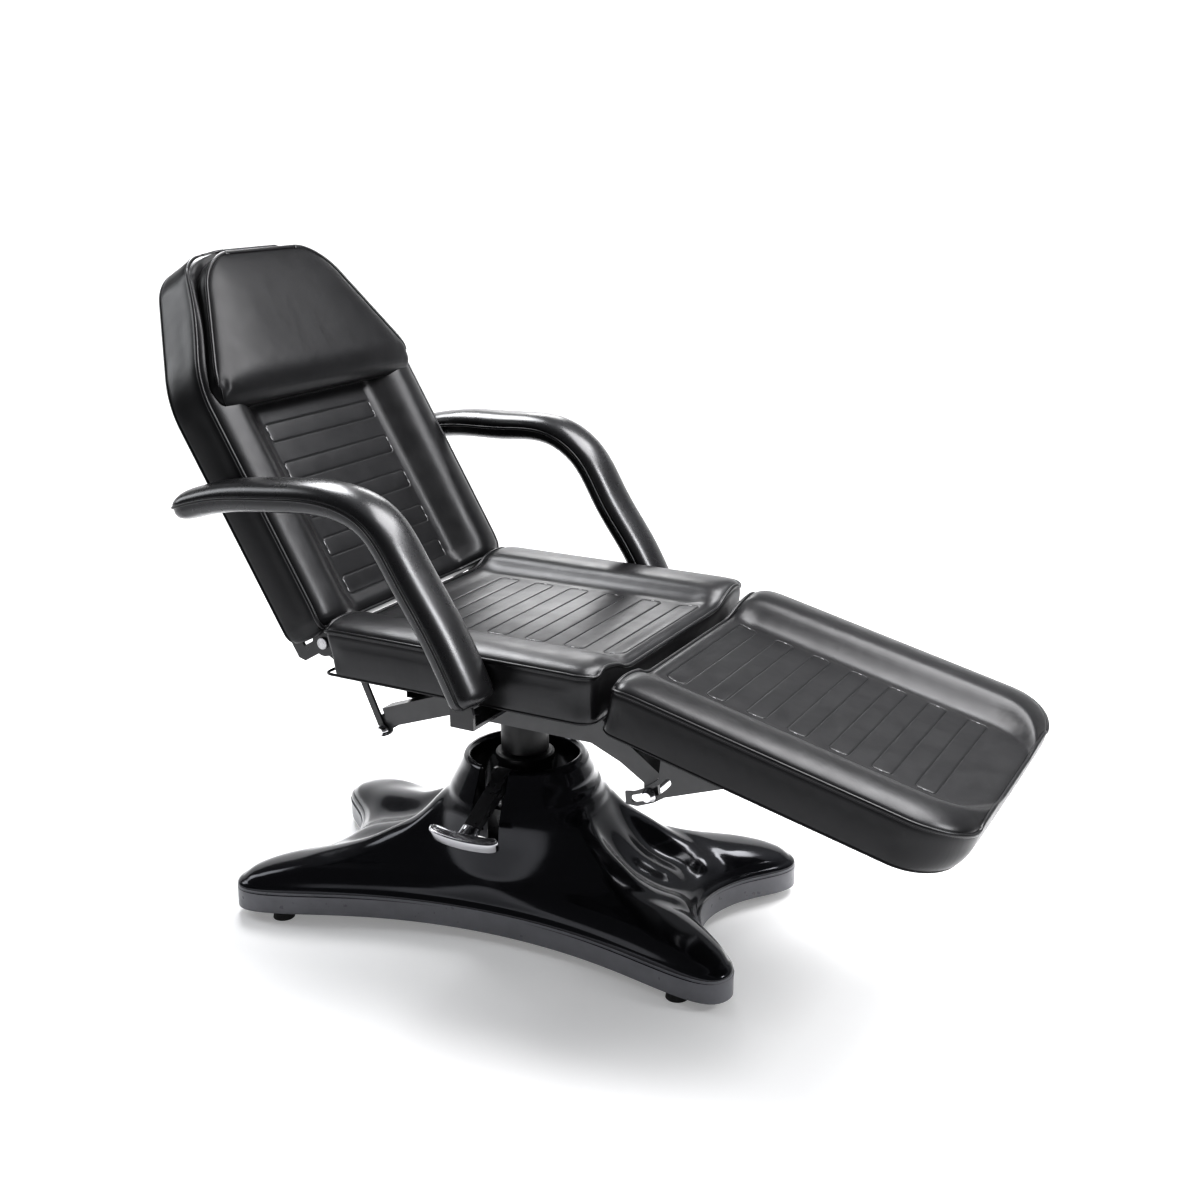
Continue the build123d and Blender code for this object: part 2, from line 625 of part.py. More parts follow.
# ---------------------------------------------------------------- armrests
ARM_Y = 348.0
ARM_W, ARM_T = 92.0, 55.0
ARM_A = (-446.0 + SHIFT_X, 800.0)
ARM_B = (-235.0 + SHIFT_X, 841.0)
ARM_C = (-60.0 + SHIFT_X, 838.0)
ARM_D = (130.0 + SHIFT_X, 546.0)
arm_start = Plane(
    origin=(ARM_A[0], -ARM_Y, ARM_A[1]),
    x_dir=(0, 1, 0),
    z_dir=(ARM_B[0] - ARM_A[0], 0, ARM_B[1] - ARM_A[1]),
)
BRK_X = 112.0 + SHIFT_X
with BuildPart() as armrest_brackets:
    # foot under the board, out to the arm, and a tongue that goes up inside it
    with BuildSketch(Plane.XZ.offset(RAIL_Y1)):
        with BuildLine():
            Polyline((BRK_X - 30, 493), (BRK_X + 30, 493), (BRK_X + 30, 515), (BRK_X - 30, 515), close=True)
        make_face()
    extrude(amount=6.0)
    with BuildSketch(Plane.XY.offset(493.0)):
        with Locations((BRK_X, -(RAIL_Y1 + 6 + 345.0) / 2)):
            Rectangle(44.0, 345.0 - RAIL_Y1 - 6)
    extrude(amount=6.0)
    with BuildSketch(Plane.XZ.offset(345.0)):
        with BuildLine():
            Polyline((BRK_X - 22, 493), (BRK_X + 22, 493), (BRK_X + 22, 520), (BRK_X + 2, 590), (BRK_X - 28, 600), (BRK_X - 22, 540), close=True)
        make_face()
        with Locations((BRK_X - 6, 545), (BRK_X - 12, 575)):
            Circle(4.0, mode=Mode.SUBTRACT)
    extrude(amount=6.0)
    mirror(about=Plane.XZ)

with BuildPart() as armrest_bolts:
    with BuildSketch(Plane.XZ.offset(318.0)):
        with Locations((BRK_X - 6, 545), (BRK_X - 12, 575)):
            Circle(4.0)
    extrude(amount=42.0)
    mirror(about=Plane.XZ)

with BuildPart() as armrest_right:
    with BuildLine(Plane.XZ.offset(ARM_Y)):
        FilletPolyline(ARM_A, ARM_B, ARM_C, ARM_D, radius=[300.0, 180.0])
    with BuildSketch(arm_start):
        RectangleRounded(ARM_W, ARM_T, 24.0)
    sweep()
    # pocket for the bracket tongue and its bolts
    with BuildSketch(Plane.XZ.offset(344.7)):
        with BuildLine():
            Polyline((BRK_X - 23, 480), (BRK_X + 26, 480), (BRK_X + 23, 522), (BRK_X + 3, 592), (BRK_X - 29, 602), (BRK_X - 23, 540), close=True)
        make_face()
    extrude(amount=6.6, mode=Mode.SUBTRACT)
    with BuildSketch(Plane.XZ.offset(317.5)):
        with Locations((BRK_X - 6, 545), (BRK_X - 12, 575)):
            Circle(4.1)
    extrude(amount=43.0, mode=Mode.SUBTRACT)

with BuildPart() as armrest_left:
    add(armrest_right.part)
    mirror(about=Plane.XZ, mode=Mode.REPLACE)

# ---------------------------------------------------------------- backrest
def back_outline(inset):
    w, t = BACK_HALF_W - inset, BACK_TOP_HALF_W - inset
    return [(inset, -w), (BACK_BEND, -w), (BACK_LEN - 22, -t - 8), (BACK_LEN - inset, -t + 22), (BACK_LEN - inset, t - 22), (BACK_LEN - 22, t + 8), (BACK_BEND, w), (inset, w)]


with BuildPart() as back_board:
    with BuildSketch(BACK.offset(BACK_REAR_N)):
        with BuildLine():
            Polyline(*back_outline(6.0), close=True)
        make_face()
    extrude(amount=BACK_BOARD_T)

with BuildPart() as back_cushion:
    with BuildSketch(BACK.offset(BACK_REAR_N + BACK_BOARD_T)):
        with BuildLine():
            Polyline(*back_outline(0.0), close=True)
        make_face()
    extrude(amount=BACK_FRONT_N - BACK_REAR_N - BACK_BOARD_T)

with BuildPart() as back_uprights:
    with BuildSketch(BACK.offset(BACK_REAR_N - 25.0)):
        with Locations((215.0, 235.0), (215.0, -235.0)):
            Rectangle(370.0, 25.0)
    extrude(amount=25.0)
    with BuildSketch(BACK.offset(BACK_REAR_N - 25.0 + 2.0)):
        with Locations((215.0, 235.0), (215.0, -235.0)):
            Rectangle(372.0, 21.0)
    extrude(amount=21.0, mode=Mode.SUBTRACT)

with BuildPart() as back_tube_plugs:
    with BuildSketch(BACK.offset(BACK_REAR_N - 25.0 + 2.0)):
        with Locations((36.0, 235.0), (394.0, 235.0), (36.0, -235.0), (394.0, -235.0)):
            Rectangle(12.0, 21.0)
    extrude(amount=21.0)

with BuildPart() as back_cross_tubes:
    with BuildSketch(BACK.offset(BACK_REAR_N - 25.0)):
        with Locations((60.0, 0), (380.0, 0)):
            Rectangle(25.0, 445.0)
    extrude(amount=25.0)
    with BuildSketch(BACK.offset(BACK_REAR_N - 25.0 + 2.0)):
        with Locations((60.0, 0), (380.0, 0)):
            Rectangle(21.0, 447.0)
    extrude(amount=21.0, mode=Mode.SUBTRACT)

with BuildPart() as back_hinge_arms:
    # moving halves of the ratchet hinges, cranked round behind the board
    with BuildSketch(Plane.XZ.offset(RAIL_Y1 + 7.5)):
        with Locations((H_X, H_Z)):
            Circle(24.0)
        with BuildLine():
            Polyline(
                back_pt(-16.4, -50),
                back_pt(-16.4, -93),
                back_pt(150, -93),
                back_pt(150, -116),
                back_pt(-30, -116),
                back_pt(-40.4, -106),
                back_pt(-40.4, -50),
                close=True,
            )
        make_face()
        with Locations((H_X, H_Z)):
            Circle(PIN_R + PIN_RUN, mode=Mode.SUBTRACT)
    extrude(amount=6.0)
    mirror(about=Plane.XZ)

with BuildPart() as back_screws:
    with BuildSketch(BACK.offset(BACK_REAR_N - 29.0)):
        with Locations((110.0, 235.0), (350.0, 235.0), (110.0, -235.0), (350.0, -235.0)):
            Circle(7.0)
    extrude(amount=4.0)

# head pillow: a tapered pad that lies on the head section
PILLOW_N0, PILLOW_N1 = -12.0, 28.0
with BuildPart() as head_pillow:
    with BuildSketch(BACK.offset(PILLOW_N0)):
        with BuildLine():
            Polyline((400, -262), (412, -272), (452, -268), (650, -152), (670, -120), (670, 120), (650, 152), (452, 268), (412, 272), (400, 262), close=True)
        make_face()
    extrude(amount=PILLOW_N1 - PILLOW_N0)

# ---------------------------------------------------------------- leg rest
def leg_outline(inset):
    w, e = LEG_HALF_W - inset, LEG_LEN - inset
    return [(inset, -w + 10), (inset + 10, -w), (e - 75, -w), (e - 30, -w + 18), (e - 8, -w + 52), (e, -w + 95), (e, w - 95), (e - 8, w - 52), (e - 30, w - 18), (e - 75, w), (inset + 10, w), (inset, w - 10)]


with BuildPart() as leg_board:
    with BuildSketch(LEG.offset(-LEG_T)):
        with BuildLine():
            Polyline(*leg_outline(6.0), close=True)
        make_face()
    extrude(amount=LEG_BOARD_T)

with BuildPart() as leg_cushion:
    with BuildSketch(LEG.offset(-LEG_T + LEG_BOARD_T)):
        with BuildLine():
            Polyline(*leg_outline(0.0), close=True)
        make_face()
    extrude(amount=LEG_T - LEG_BOARD_T)

LF_T = 20.0
with BuildPart() as leg_side_tubes:
    with BuildSketch(LEG.offset(-LEG_T - LF_T)):
        with Locations((260.0, 234.5), (260.0, -234.5)):
            Rectangle(430.0, 25.0)
    extrude(amount=LF_T)
    with BuildSketch(LEG.offset(-LEG_T - LF_T + 2.0)):
        with Locations((260.0, 234.5), (260.0, -234.5)):
            Rectangle(432.0, 21.0)
    extrude(amount=LF_T - 4.0, mode=Mode.SUBTRACT)

with BuildPart() as leg_tube_plugs:
    with BuildSketch(LEG.offset(-LEG_T - LF_T + 2.0)):
        with Locations((51.0, 234.5), (469.0, 234.5), (51.0, -234.5), (469.0, -234.5)):
            Rectangle(12.0, 21.0)
    extrude(amount=LF_T - 4.0)

with BuildPart() as leg_front_cross_tube:
    with BuildSketch(LEG.offset(-LEG_T - LF_T)):
        with Locations((440.0, 0)):
            Rectangle(25.0, 444.0)
    extrude(amount=LF_T)
    with BuildSketch(LEG.offset(-LEG_T - LF_T + 2.0)):
        with Locations((440.0, 0)):
            Rectangle(21.0, 446.0)
    extrude(amount=LF_T - 4.0, mode=Mode.SUBTRACT)

with BuildPart() as leg_rear_cross_tube:
    with BuildSketch(LEG.offset(-LEG_T - LF_T)):
        with Locations((62.0, 0)):
            Rectangle(25.0, 444.0)
    extrude(amount=LF_T)
    with BuildSketch(LEG.offset(-LEG_T - LF_T + 2.0)):
        with Locations((62.0, 0)):
            Rectangle(21.0, 446.0)
    extrude(amount=LF_T - 4.0, mode=Mode.SUBTRACT)
    # hinge lugs
    with BuildSketch(Plane.XZ.offset(158.0)):
        with BuildLine():
            Polyline(leg_pt(4, -LEG_T - 1.5), leg_pt(50.5, -LEG_T - 1.5), leg_pt(50.5, -LEG_T - LF_T), (K_X + 6, K_Z - 10), (K_X - 10, K_Z), close=True)
        make_face()
        with Locations((K_X, K_Z)):
            Circle(12.0)
        with Locations((K_X, K_Z)):
            Circle(PIN_R + PIN_RUN, mode=Mode.SUBTRACT)
    extrude(amount=7.0)
    mirror(about=Plane.XZ)

rest_deg = math.degrees(math.atan2(F_Z - K_Z, F_X - K_X))
with BuildPart() as leg_quadrants:
    # plates under the leg rest with an arc slot round the hinge for the clamp bolt
    with BuildSketch(Plane.XZ.offset(RAIL_Y1 + 1.5)):
        with BuildLine():
            Polyline(
                polar(K_X, K_Z, ARC_R - 13, rest_deg - LEG_UP - 8),
                polar(K_X, K_Z, ARC_R - 12, rest_deg - LEG_UP),
                polar(K_X, K_Z, ARC_R - 13, rest_deg - 2),
                polar(K_X, K_Z, ARC_R - 13, rest_deg + LEG_DOWN - 4),
                leg_pt(88, -LEG_T - LF_T),
                leg_pt(215, -LEG_T - LF_T),
                polar(K_X, K_Z, ARC_R + 15, rest_deg + 10),
                polar(K_X, K_Z, ARC_R + 14, rest_deg),
                polar(K_X, K_Z, ARC_R + 13, rest_deg - LEG_UP),
                polar(K_X, K_Z, ARC_R + 8, rest_deg - LEG_UP - 9),
                close=True,
            )
        make_face()
        with BuildLine():
            arc_o = CenterArc((K_X, K_Z), ARC_R + PIN_R + 0.4, rest_deg - LEG_UP - 0.5, LEG_UP + LEG_DOWN + 1.0)
            arc_i = CenterArc((K_X, K_Z), ARC_R - PIN_R - 0.4, rest_deg - LEG_UP - 0.5, LEG_UP + LEG_DOWN + 1.0)
            Line(arc_o @ 0, arc_i @ 0)
            Line(arc_o @ 1, arc_i @ 1)
        make_face(mode=Mode.SUBTRACT)
        with Locations(
            polar(K_X, K_Z, ARC_R, rest_deg - LEG_UP - 0.5),
            polar(K_X, K_Z, ARC_R, rest_deg + LEG_DOWN + 0.5),
        ):
            Circle(PIN_R + 0.4, mode=Mode.SUBTRACT)
    extrude(amount=5.0)
    mirror(about=Plane.XZ)

with BuildPart() as leg_screws:
    with BuildSketch(LEG.offset(-LEG_T - LF_T - 4.0)):
        with Locations((330.0, 234.5), (430.0, 234.5), (330.0, -234.5), (430.0, -234.5)):
            Circle(7.0)
    extrude(amount=4.0)

# ---------------------------------------------------------------- write the pieces
PIECES = {
    "base_cover": base_cover,
    "base_frame": base_frame,
    "foot_pads": foot_pads,
    "foot_studs": foot_studs,
    "pump_cylinder": pump_cylinder,
    "pump_gland": pump_gland,
    "pump_bolts": pump_bolts,
    "pump_block": pump_block,
    "pump_plunger": pump_plunger,
    "pump_spring": pump_spring,
    "pedal_pin": pedal_pin,
    "pedal_lever": pedal_lever,
    "pedal_pad": pedal_pad,
    "ram_piston": ram_piston,
    "ram_rod": ram_rod,
    "thrust_ring": thrust_ring,
    "swivel_hub": swivel_hub,
    "hub_bolts": hub_bolts,
    "seat_rail_right": seat_rail_right,
    "seat_rail_left": seat_rail_left,
    "rail_plugs": rail_plugs,
    "seat_cross_tubes": seat_cross_tubes,
    "front_cross_tube": front_cross_tube,
    "rear_cross_bar": rear_cross_bar,
    "rear_tie_rod": rear_tie_rod,
    "front_tie_rod": front_tie_rod,
    "rear_braces": rear_braces,
    "hinge_arms": hinge_arms,
    "back_hinge_pins": back_hinge_pins,
    "leg_hinge_pins": leg_hinge_pins,
    "seat_board": seat_board,
    "seat_cushion": seat_cushion,
    "armrest_brackets": armrest_brackets,
    "armrest_bolts": armrest_bolts,
    "armrest_right": armrest_right,
    "armrest_left": armrest_left,
    "back_board": back_board,
    "back_cushion": back_cushion,
    "back_uprights": back_uprights,
    "back_cross_tubes": back_cross_tubes,
    "back_tube_plugs": back_tube_plugs,
    "back_hinge_arms": back_hinge_arms,
    "back_screws": back_screws,
    "head_pillow": head_pillow,
    "leg_board": leg_board,
    "leg_cushion": leg_cushion,
    "leg_side_tubes": leg_side_tubes,
    "leg_front_cross_tube": leg_front_cross_tube,
    "leg_rear_cross_tube": leg_rear_cross_tube,
    "leg_tube_plugs": leg_tube_plugs,
    "leg_quadrants": leg_quadrants,
    "leg_screws": leg_screws,
}
for piece_name, piece in PIECES.items():
    save(piece.part, piece_name)
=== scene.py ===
import json
import math

import bmesh
import bpy
import numpy as np
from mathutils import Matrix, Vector
from mathutils.kdtree import KDTree


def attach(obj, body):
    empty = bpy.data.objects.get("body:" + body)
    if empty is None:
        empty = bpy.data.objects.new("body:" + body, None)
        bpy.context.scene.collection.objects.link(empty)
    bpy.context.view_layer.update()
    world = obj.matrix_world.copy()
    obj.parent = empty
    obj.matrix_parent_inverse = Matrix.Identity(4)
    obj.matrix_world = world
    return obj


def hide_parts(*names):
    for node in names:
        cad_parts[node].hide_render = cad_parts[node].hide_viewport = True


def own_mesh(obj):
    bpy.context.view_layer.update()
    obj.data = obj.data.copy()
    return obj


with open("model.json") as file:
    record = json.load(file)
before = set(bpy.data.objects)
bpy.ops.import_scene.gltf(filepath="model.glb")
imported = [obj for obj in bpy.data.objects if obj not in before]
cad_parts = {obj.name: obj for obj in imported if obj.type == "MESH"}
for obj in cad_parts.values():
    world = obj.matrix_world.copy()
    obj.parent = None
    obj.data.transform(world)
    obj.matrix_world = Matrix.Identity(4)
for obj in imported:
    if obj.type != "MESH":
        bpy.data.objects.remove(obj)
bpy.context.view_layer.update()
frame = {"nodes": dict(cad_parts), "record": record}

SX = -0.134                     # shift along X from the base centre to the frame's origin
rng = np.random.default_rng(7)


# ---------------------------------------------------------------- materials
def new_material(name):
    m = bpy.data.materials.new(name)
    m.use_nodes = True
    nt = m.node_tree
    nt.nodes.clear()
    out = nt.nodes.new("ShaderNodeOutputMaterial")
    bsdf = nt.nodes.new("ShaderNodeBsdfPrincipled")
    nt.links.new(bsdf.outputs[0], out.inputs[0])
    return m, nt, bsdf


def tex_coord(nt, scale=(1, 1, 1)):
    tc = nt.nodes.new("ShaderNodeTexCoord")
    mp = nt.nodes.new("ShaderNodeMapping")
    mp.inputs["Scale"].default_value = scale
    nt.links.new(tc.outputs["Object"], mp.inputs["Vector"])
    return mp.outputs["Vector"]


def noise(nt, vec, scale, detail=3.0, rough=0.5):
    n = nt.nodes.new("ShaderNodeTexNoise")
    n.inputs["Scale"].default_value = scale
    n.inputs["Detail"].default_value = detail
    n.inputs["Roughness"].default_value = rough
    nt.links.new(vec, n.inputs["Vector"])
    return n.outputs["Fac"]


def ramp(nt, fac, stops):
    r = nt.nodes.new("ShaderNodeValToRGB")
    r.color_ramp.elements[0].position = stops[0][0]
    r.color_ramp.elements[0].color = stops[0][1]
    r.color_ramp.elements[1].position = stops[-1][0]
    r.color_ramp.elements[1].color = stops[-1][1]
    for pos, col in stops[1:-1]:
        e = r.color_ramp.elements.new(pos)
        e.color = col
    nt.links.new(fac, r.inputs["Fac"])
    return r.outputs["Color"]


def span(nt, fac, lo, hi, a=0.0, b=1.0):
    m = nt.nodes.new("ShaderNodeMapRange")
    m.inputs["From Min"].default_value = lo
    m.inputs["From Max"].default_value = hi
    m.inputs["To Min"].default_value = a
    m.inputs["To Max"].default_value = b
    nt.links.new(fac, m.inputs["Value"])
    return m.outputs["Result"]


def bump(nt, height, strength, distance, normal=None):
    b = nt.nodes.new("ShaderNodeBump")
    b.inputs["Strength"].default_value = strength
    b.inputs["Distance"].default_value = distance
    nt.links.new(height, b.inputs["Height"])
    if normal is not None:
        nt.links.new(normal, b.inputs["Normal"])
    return b.outputs["Normal"]


def grey(v, tint=(1.0, 1.0, 1.0)):
    return (v * tint[0], v * tint[1], v * tint[2], 1.0)


def vinyl_material(name, base=0.0085, rough=0.325, sheen=0.40, uneven=1.0):
    m, nt, b = new_material(name)
    vec = tex_coord(nt)
    mottle = noise(nt, vec, 9.0, 4.0, 0.6)
    cool = (0.98, 0.97, 1.05)
    nt.links.new(ramp(nt, mottle, [(0.3, grey(base * 0.88, cool)), (0.7, grey(base * 1.14, cool))]), b.inputs["Base Color"])
    wear = noise(nt, vec, 26.0, 3.0, 0.55)
    nt.links.new(span(nt, wear, 0.3, 0.7, rough - 0.035 * uneven, rough + 0.045 * uneven), b.inputs["Roughness"])
    b.inputs["Specular IOR Level"].default_value = sheen
    b.inputs["Specular Tint"].default_value = (0.965, 0.97, 1.0, 1)
    b.inputs["Coat Weight"].default_value = 0.05
    b.inputs["Coat Roughness"].default_value = 0.22
    # pebbled grain over a very soft unevenness
    soft = bump(nt, noise(nt, vec, 16.0, 2.0, 0.5), 0.22 * uneven, 0.004)
    cell = nt.nodes.new("ShaderNodeTexVoronoi")
    cell.inputs["Scale"].default_value = 620.0
    nt.links.new(vec, cell.inputs["Vector"])
    nt.links.new(bump(nt, cell.outputs["Distance"], 0.08, 0.0004, soft), b.inputs["Normal"])
    return m


def gloss_material(name):
    m, nt, b = new_material(name)
    vec = tex_coord(nt)
    nt.links.new(ramp(nt, noise(nt, vec, 5.0, 3.0), [(0.3, (0.0036, 0.0036, 0.0048, 1)), (0.7, (0.0058, 0.0058, 0.0074, 1))]), b.inputs["Base Color"])
    nt.links.new(span(nt, noise(nt, vec, 38.0, 4.0, 0.6), 0.3, 0.7, 0.125, 0.18), b.inputs["Roughness"])
    b.inputs["Specular IOR Level"].default_value = 0.38
    b.inputs["Specular Tint"].default_value = (0.90, 0.92, 1.0, 1)
    b.inputs["Coat Weight"].default_value = 0.16
    b.inputs["Coat Roughness"].default_value = 0.09
    # slight waviness of a thick moulding
    nt.links.new(bump(nt, noise(nt, vec, 7.0, 2.0, 0.45), 0.12, 0.006), b.inputs["Normal"])
    return m


def paint_material(name, col, rough, metallic=0.0, peel=0.12, coat=0.0):
    m, nt, b = new_material(name)
    vec = tex_coord(nt)
    dark = tuple(c * 0.86 for c in col) + (1,)
    light = tuple(min(1, c * 1.1) for c in col) + (1,)
    nt.links.new(ramp(nt, noise(nt, vec, 14.0, 4.0, 0.6), [(0.3, dark), (0.7, light)]), b.inputs["Base Color"])
    nt.links.new(span(nt, noise(nt, vec, 60.0, 3.0), 0.3, 0.7, rough - 0.05, rough + 0.06), b.inputs["Roughness"])
    b.inputs["Metallic"].default_value = metallic
    b.inputs["Coat Weight"].default_value = coat
    nt.links.new(bump(nt, noise(nt, vec, 420.0, 2.0), peel, 0.0006), b.inputs["Normal"])
    return m


def chrome_material(name, col=(0.78, 0.78, 0.80), rough=0.07):
    m, nt, b = new_material(name)
    vec = tex_coord(nt)
    nt.links.new(ramp(nt, noise(nt, vec, 30.0, 3.0), [(0.3, tuple(c * 0.93 for c in col) + (1,)), (0.7, tuple(col) + (1,))]), b.inputs["Base Color"])
    nt.links.new(span(nt, noise(nt, vec, 85.0, 4.0), 0.3, 0.7, rough * 0.7, rough * 1.6), b.inputs["Roughness"])
    b.inputs["Metallic"].default_value = 1.0
    nt.links.new(bump(nt, noise(nt, vec, 25.0, 2.0), 0.05, 0.002), b.inputs["Normal"])
    return m


def steel_material(name):
    m, nt, b = new_material(name)
    vec = tex_coord(nt, (1, 12, 1))
    nt.links.new(ramp(nt, noise(nt, vec, 90.0, 4.0), [(0.3, (0.42, 0.42, 0.43, 1)), (0.7, (0.60, 0.60, 0.61, 1))]), b.inputs["Base Color"])
    nt.links.new(span(nt, noise(nt, vec, 130.0, 3.0), 0.3, 0.7, 0.22, 0.38), b.inputs["Roughness"])
    b.inputs["Metallic"].default_value = 1.0
    nt.links.new(bump(nt, noise(nt, vec, 300.0, 2.0), 0.08, 0.0005), b.inputs["Normal"])
    return m


def wood_material(name):
    # plywood with a black lining cloth stapled over it
    m, nt, b = new_material(name)
    vec = tex_coord(nt)
    w = nt.nodes.new("ShaderNodeTexWave")
    w.inputs["Scale"].default_value = 380.0
    w.inputs["Distortion"].default_value = 1.5
    nt.links.new(vec, w.inputs["Vector"])
    nt.links.new(ramp(nt, noise(nt, vec, 40.0, 4.0), [(0.3, (0.012, 0.012, 0.013, 1)), (0.7, (0.022, 0.022, 0.023, 1))]), b.inputs["Base Color"])
    nt.links.new(span(nt, noise(nt, vec, 60.0, 2.0), 0.3, 0.7, 0.72, 0.86), b.inputs["Roughness"])
    nt.links.new(bump(nt, w.outputs["Fac"], 0.25, 0.0006), b.inputs["Normal"])
    return m


VINYL = vinyl_material("upholstery_vinyl", 0.0085, 0.325, 0.47)
# copies of the one vinyl, set panel by panel for how the light falls: the lower sheen on the backrest, pillow and leg
# rest is painted shade; the armrests are glossier, with a darker tone and higher sheen as painted shade and highlight
BACK_VINYL = vinyl_material("backrest_vinyl", 0.0085, 0.325, 0.27)
PILLOW_VINYL = vinyl_material("pillow_vinyl", 0.0080, 0.35, 0.18)
LEG_VINYL = vinyl_material("leg_rest_vinyl", 0.0085, 0.335, 0.32)
ARM_VINYL = vinyl_material("armrest_vinyl", 0.0070, 0.275, 0.64, 0.35)
PIPING = vinyl_material("piping_vinyl", 0.0065, 0.33)
GLOSS = gloss_material("cover_plastic")
FRAME = paint_material("frame_paint", (0.060, 0.0605, 0.063), 0.34, 0.2, 0.08, 0.25)
# lighter grey for the low band of the cover: a painted reflection of the pale floor
SKIRT_FLOOR_REFLECTION = paint_material("cover_skirt_painted_reflection", (0.150, 0.152, 0.168), 0.32, 0.0, 0.01, 0.15)
DARK = paint_material("pump_enamel", (0.018, 0.018, 0.020), 0.30, 0.0, 0.10, 0.2)
CHROME = chrome_material("chrome")
ZINC = steel_material("zinc_steel")
LINING = wood_material("board_lining")
RUBBER = paint_material("rubber", (0.014, 0.014, 0.014), 0.7, 0.0, 0.3)
PLASTIC = paint_material("black_plastic", (0.02, 0.02, 0.021), 0.45, 0.0, 0.2)
# pale grey for the stitch ends: a painted glint on the thread
GLINT_THREAD = paint_material("thread", (0.42, 0.42, 0.43), 0.6, 0.0, 0.3)
SHADOW_THREAD = paint_material("dark_thread", (0.005, 0.005, 0.006), 0.8, 0.0, 0.3)

SLOT_MATERIAL = {
    "vinyl": VINYL,
    "cover_gloss": GLOSS,
    "frame_steel": FRAME,
    "pump_black": DARK,
    "chrome": CHROME,
    "zinc_steel": ZINC,
    "plywood": LINING,
    "rubber": RUBBER,
    "black_plastic": PLASTIC,
}
HUB = paint_material("hub_enamel", (0.007, 0.007, 0.008), 0.42, 0.0, 0.08, 0.0)
PEDAL_CHROME = chrome_material("pedal_chrome", (0.52, 0.52, 0.54), 0.10)
ROD_CHROME = chrome_material("rod_chrome", (0.27, 0.27, 0.285), 0.16)
node_slot = {s["node"]: s["material_slot"] for s in frame["record"]["subparts"]}
for node_name, obj in frame["nodes"].items():
    obj.data.materials.clear()
    obj.data.materials.append(SLOT_MATERIAL[node_slot[node_name]])
for node_name in ("pump_gland", "pump_cylinder", "swivel_hub"):
    frame["nodes"][node_name].data.materials[0] = HUB
frame["nodes"]["ram_rod"].data.materials[0] = ROD_CHROME


# ---------------------------------------------------------------- mesh helpers
def make_object(name, verts, faces, material, smooth=True):
    me = bpy.data.meshes.new(name)
    me.from_pydata([tuple(v) for v in verts], [], [tuple(f) for f in faces])
    me.validate(clean_customdata=False)
    me.update()
    ob = bpy.data.objects.new(name, me)
    bpy.context.scene.collection.objects.link(ob)
    me.materials.append(material)
    if smooth:
        me.polygons.foreach_set("use_smooth", [True] * len(me.polygons))
    return ob


def join_arrays(parts):
    """Joins (verts, faces) pairs into one."""
    vs, fs, off = [], [], 0
    for v, f in parts:
        vs.append(np.asarray(v, float))
        fs += [tuple(i + off for i in q) for q in f]
        off += len(v)
    return np.concatenate(vs), fs


def tube(path, radius, sides=10, closed=False, ends=True, squash=None):
    """A round tube along a path of points; radius may be a list."""
    p = np.asarray(path, float)
    n = len(p)
    r = np.full(n, radius, float) if np.isscalar(radius) else np.asarray(radius, float)
    if closed:
        t = np.roll(p, -1, 0) - np.roll(p, 1, 0)
    else:
        t = np.gradient(p, axis=0)
    t /= np.linalg.norm(t, axis=1)[:, None] + 1e-12
    up = np.array([0, 0, 1.0])
    if abs(t[0] @ up) > 0.9:
        up = np.array([0, 1.0, 0])
    a = np.zeros_like(p)
    prev = np.cross(t[0], up)
    prev /= np.linalg.norm(prev)
    for i in range(n):
        prev = prev - (prev @ t[i]) * t[i]
        prev /= np.linalg.norm(prev)
        a[i] = prev
    b = np.cross(t, a)
    ang = np.linspace(0, 2 * math.pi, sides, endpoint=False)
    v = (p[:, None, :] + r[:, None, None] * (np.cos(ang)[None, :, None] * a[:, None, :] + np.sin(ang)[None, :, None] * b[:, None, :])).reshape(-1, 3)
    f = []
    for i in range(n if closed else n - 1):
        j = (i + 1) % n
        for k in range(sides):
            l = (k + 1) % sides
            f.append((i * sides + k, i * sides + l, j * sides + l, j * sides + k))
    if not closed and ends:
        f.append(tuple(range(sides - 1, -1, -1)))
        f.append(tuple(range((n - 1) * sides, n * sides)))
    return v, f


def resample(path, step, closed=False):
    p = np.asarray(path, float)
    if closed:
        p = np.vstack([p, p[:1]])
    d = np.r_[0, np.cumsum(np.linalg.norm(np.diff(p, axis=0), axis=1))]
    n = max(3, int(round(d[-1] / step)))
    q = np.linspace(0, d[-1], n, endpoint=not closed)
    return np.stack([np.interp(q, d, p[:, k]) for k in range(3)], 1)


def smoothstep(x, a, b):
    t = np.clip((x - a) / (b - a), 0, 1)
    return t * t * (3 - 2 * t)


def value_noise(p, scale, seed):
    """Smooth noise from a few seeded sine waves, about -1 to 1."""
    g = np.random.default_rng(seed)
    out = np.zeros(len(p))
    for k in range(7):
        d = g.normal(size=3)
        d /= np.linalg.norm(d)
        out += np.sin((p @ d) * scale * (0.6 + 0.9 * g.random()) + g.random() * 6.28)
    return out / 3.2


def lines(lo, hi, step, fine=()):
    """Grid lines from lo to hi, about step apart, with dense lines round the values in fine."""
    out = list(np.linspace(lo, hi, int(round((hi - lo) / step)) + 1))
    for f0 in fine:
        for d in (-0.0042, -0.0026, -0.0015, -0.0007, 0.0, 0.0007, 0.0015, 0.0026, 0.0042):
            if lo < f0 + d < hi:
                out.append(f0 + d)
    out = np.array(sorted(out))
    keep = [0]
    for i in range(1, len(out) - 1):
        if out[i] - out[keep[-1]] > 0.00055 and out[-1] - out[i] > 0.00055:
            keep.append(i)
    keep.append(len(out) - 1)
    return out[keep]


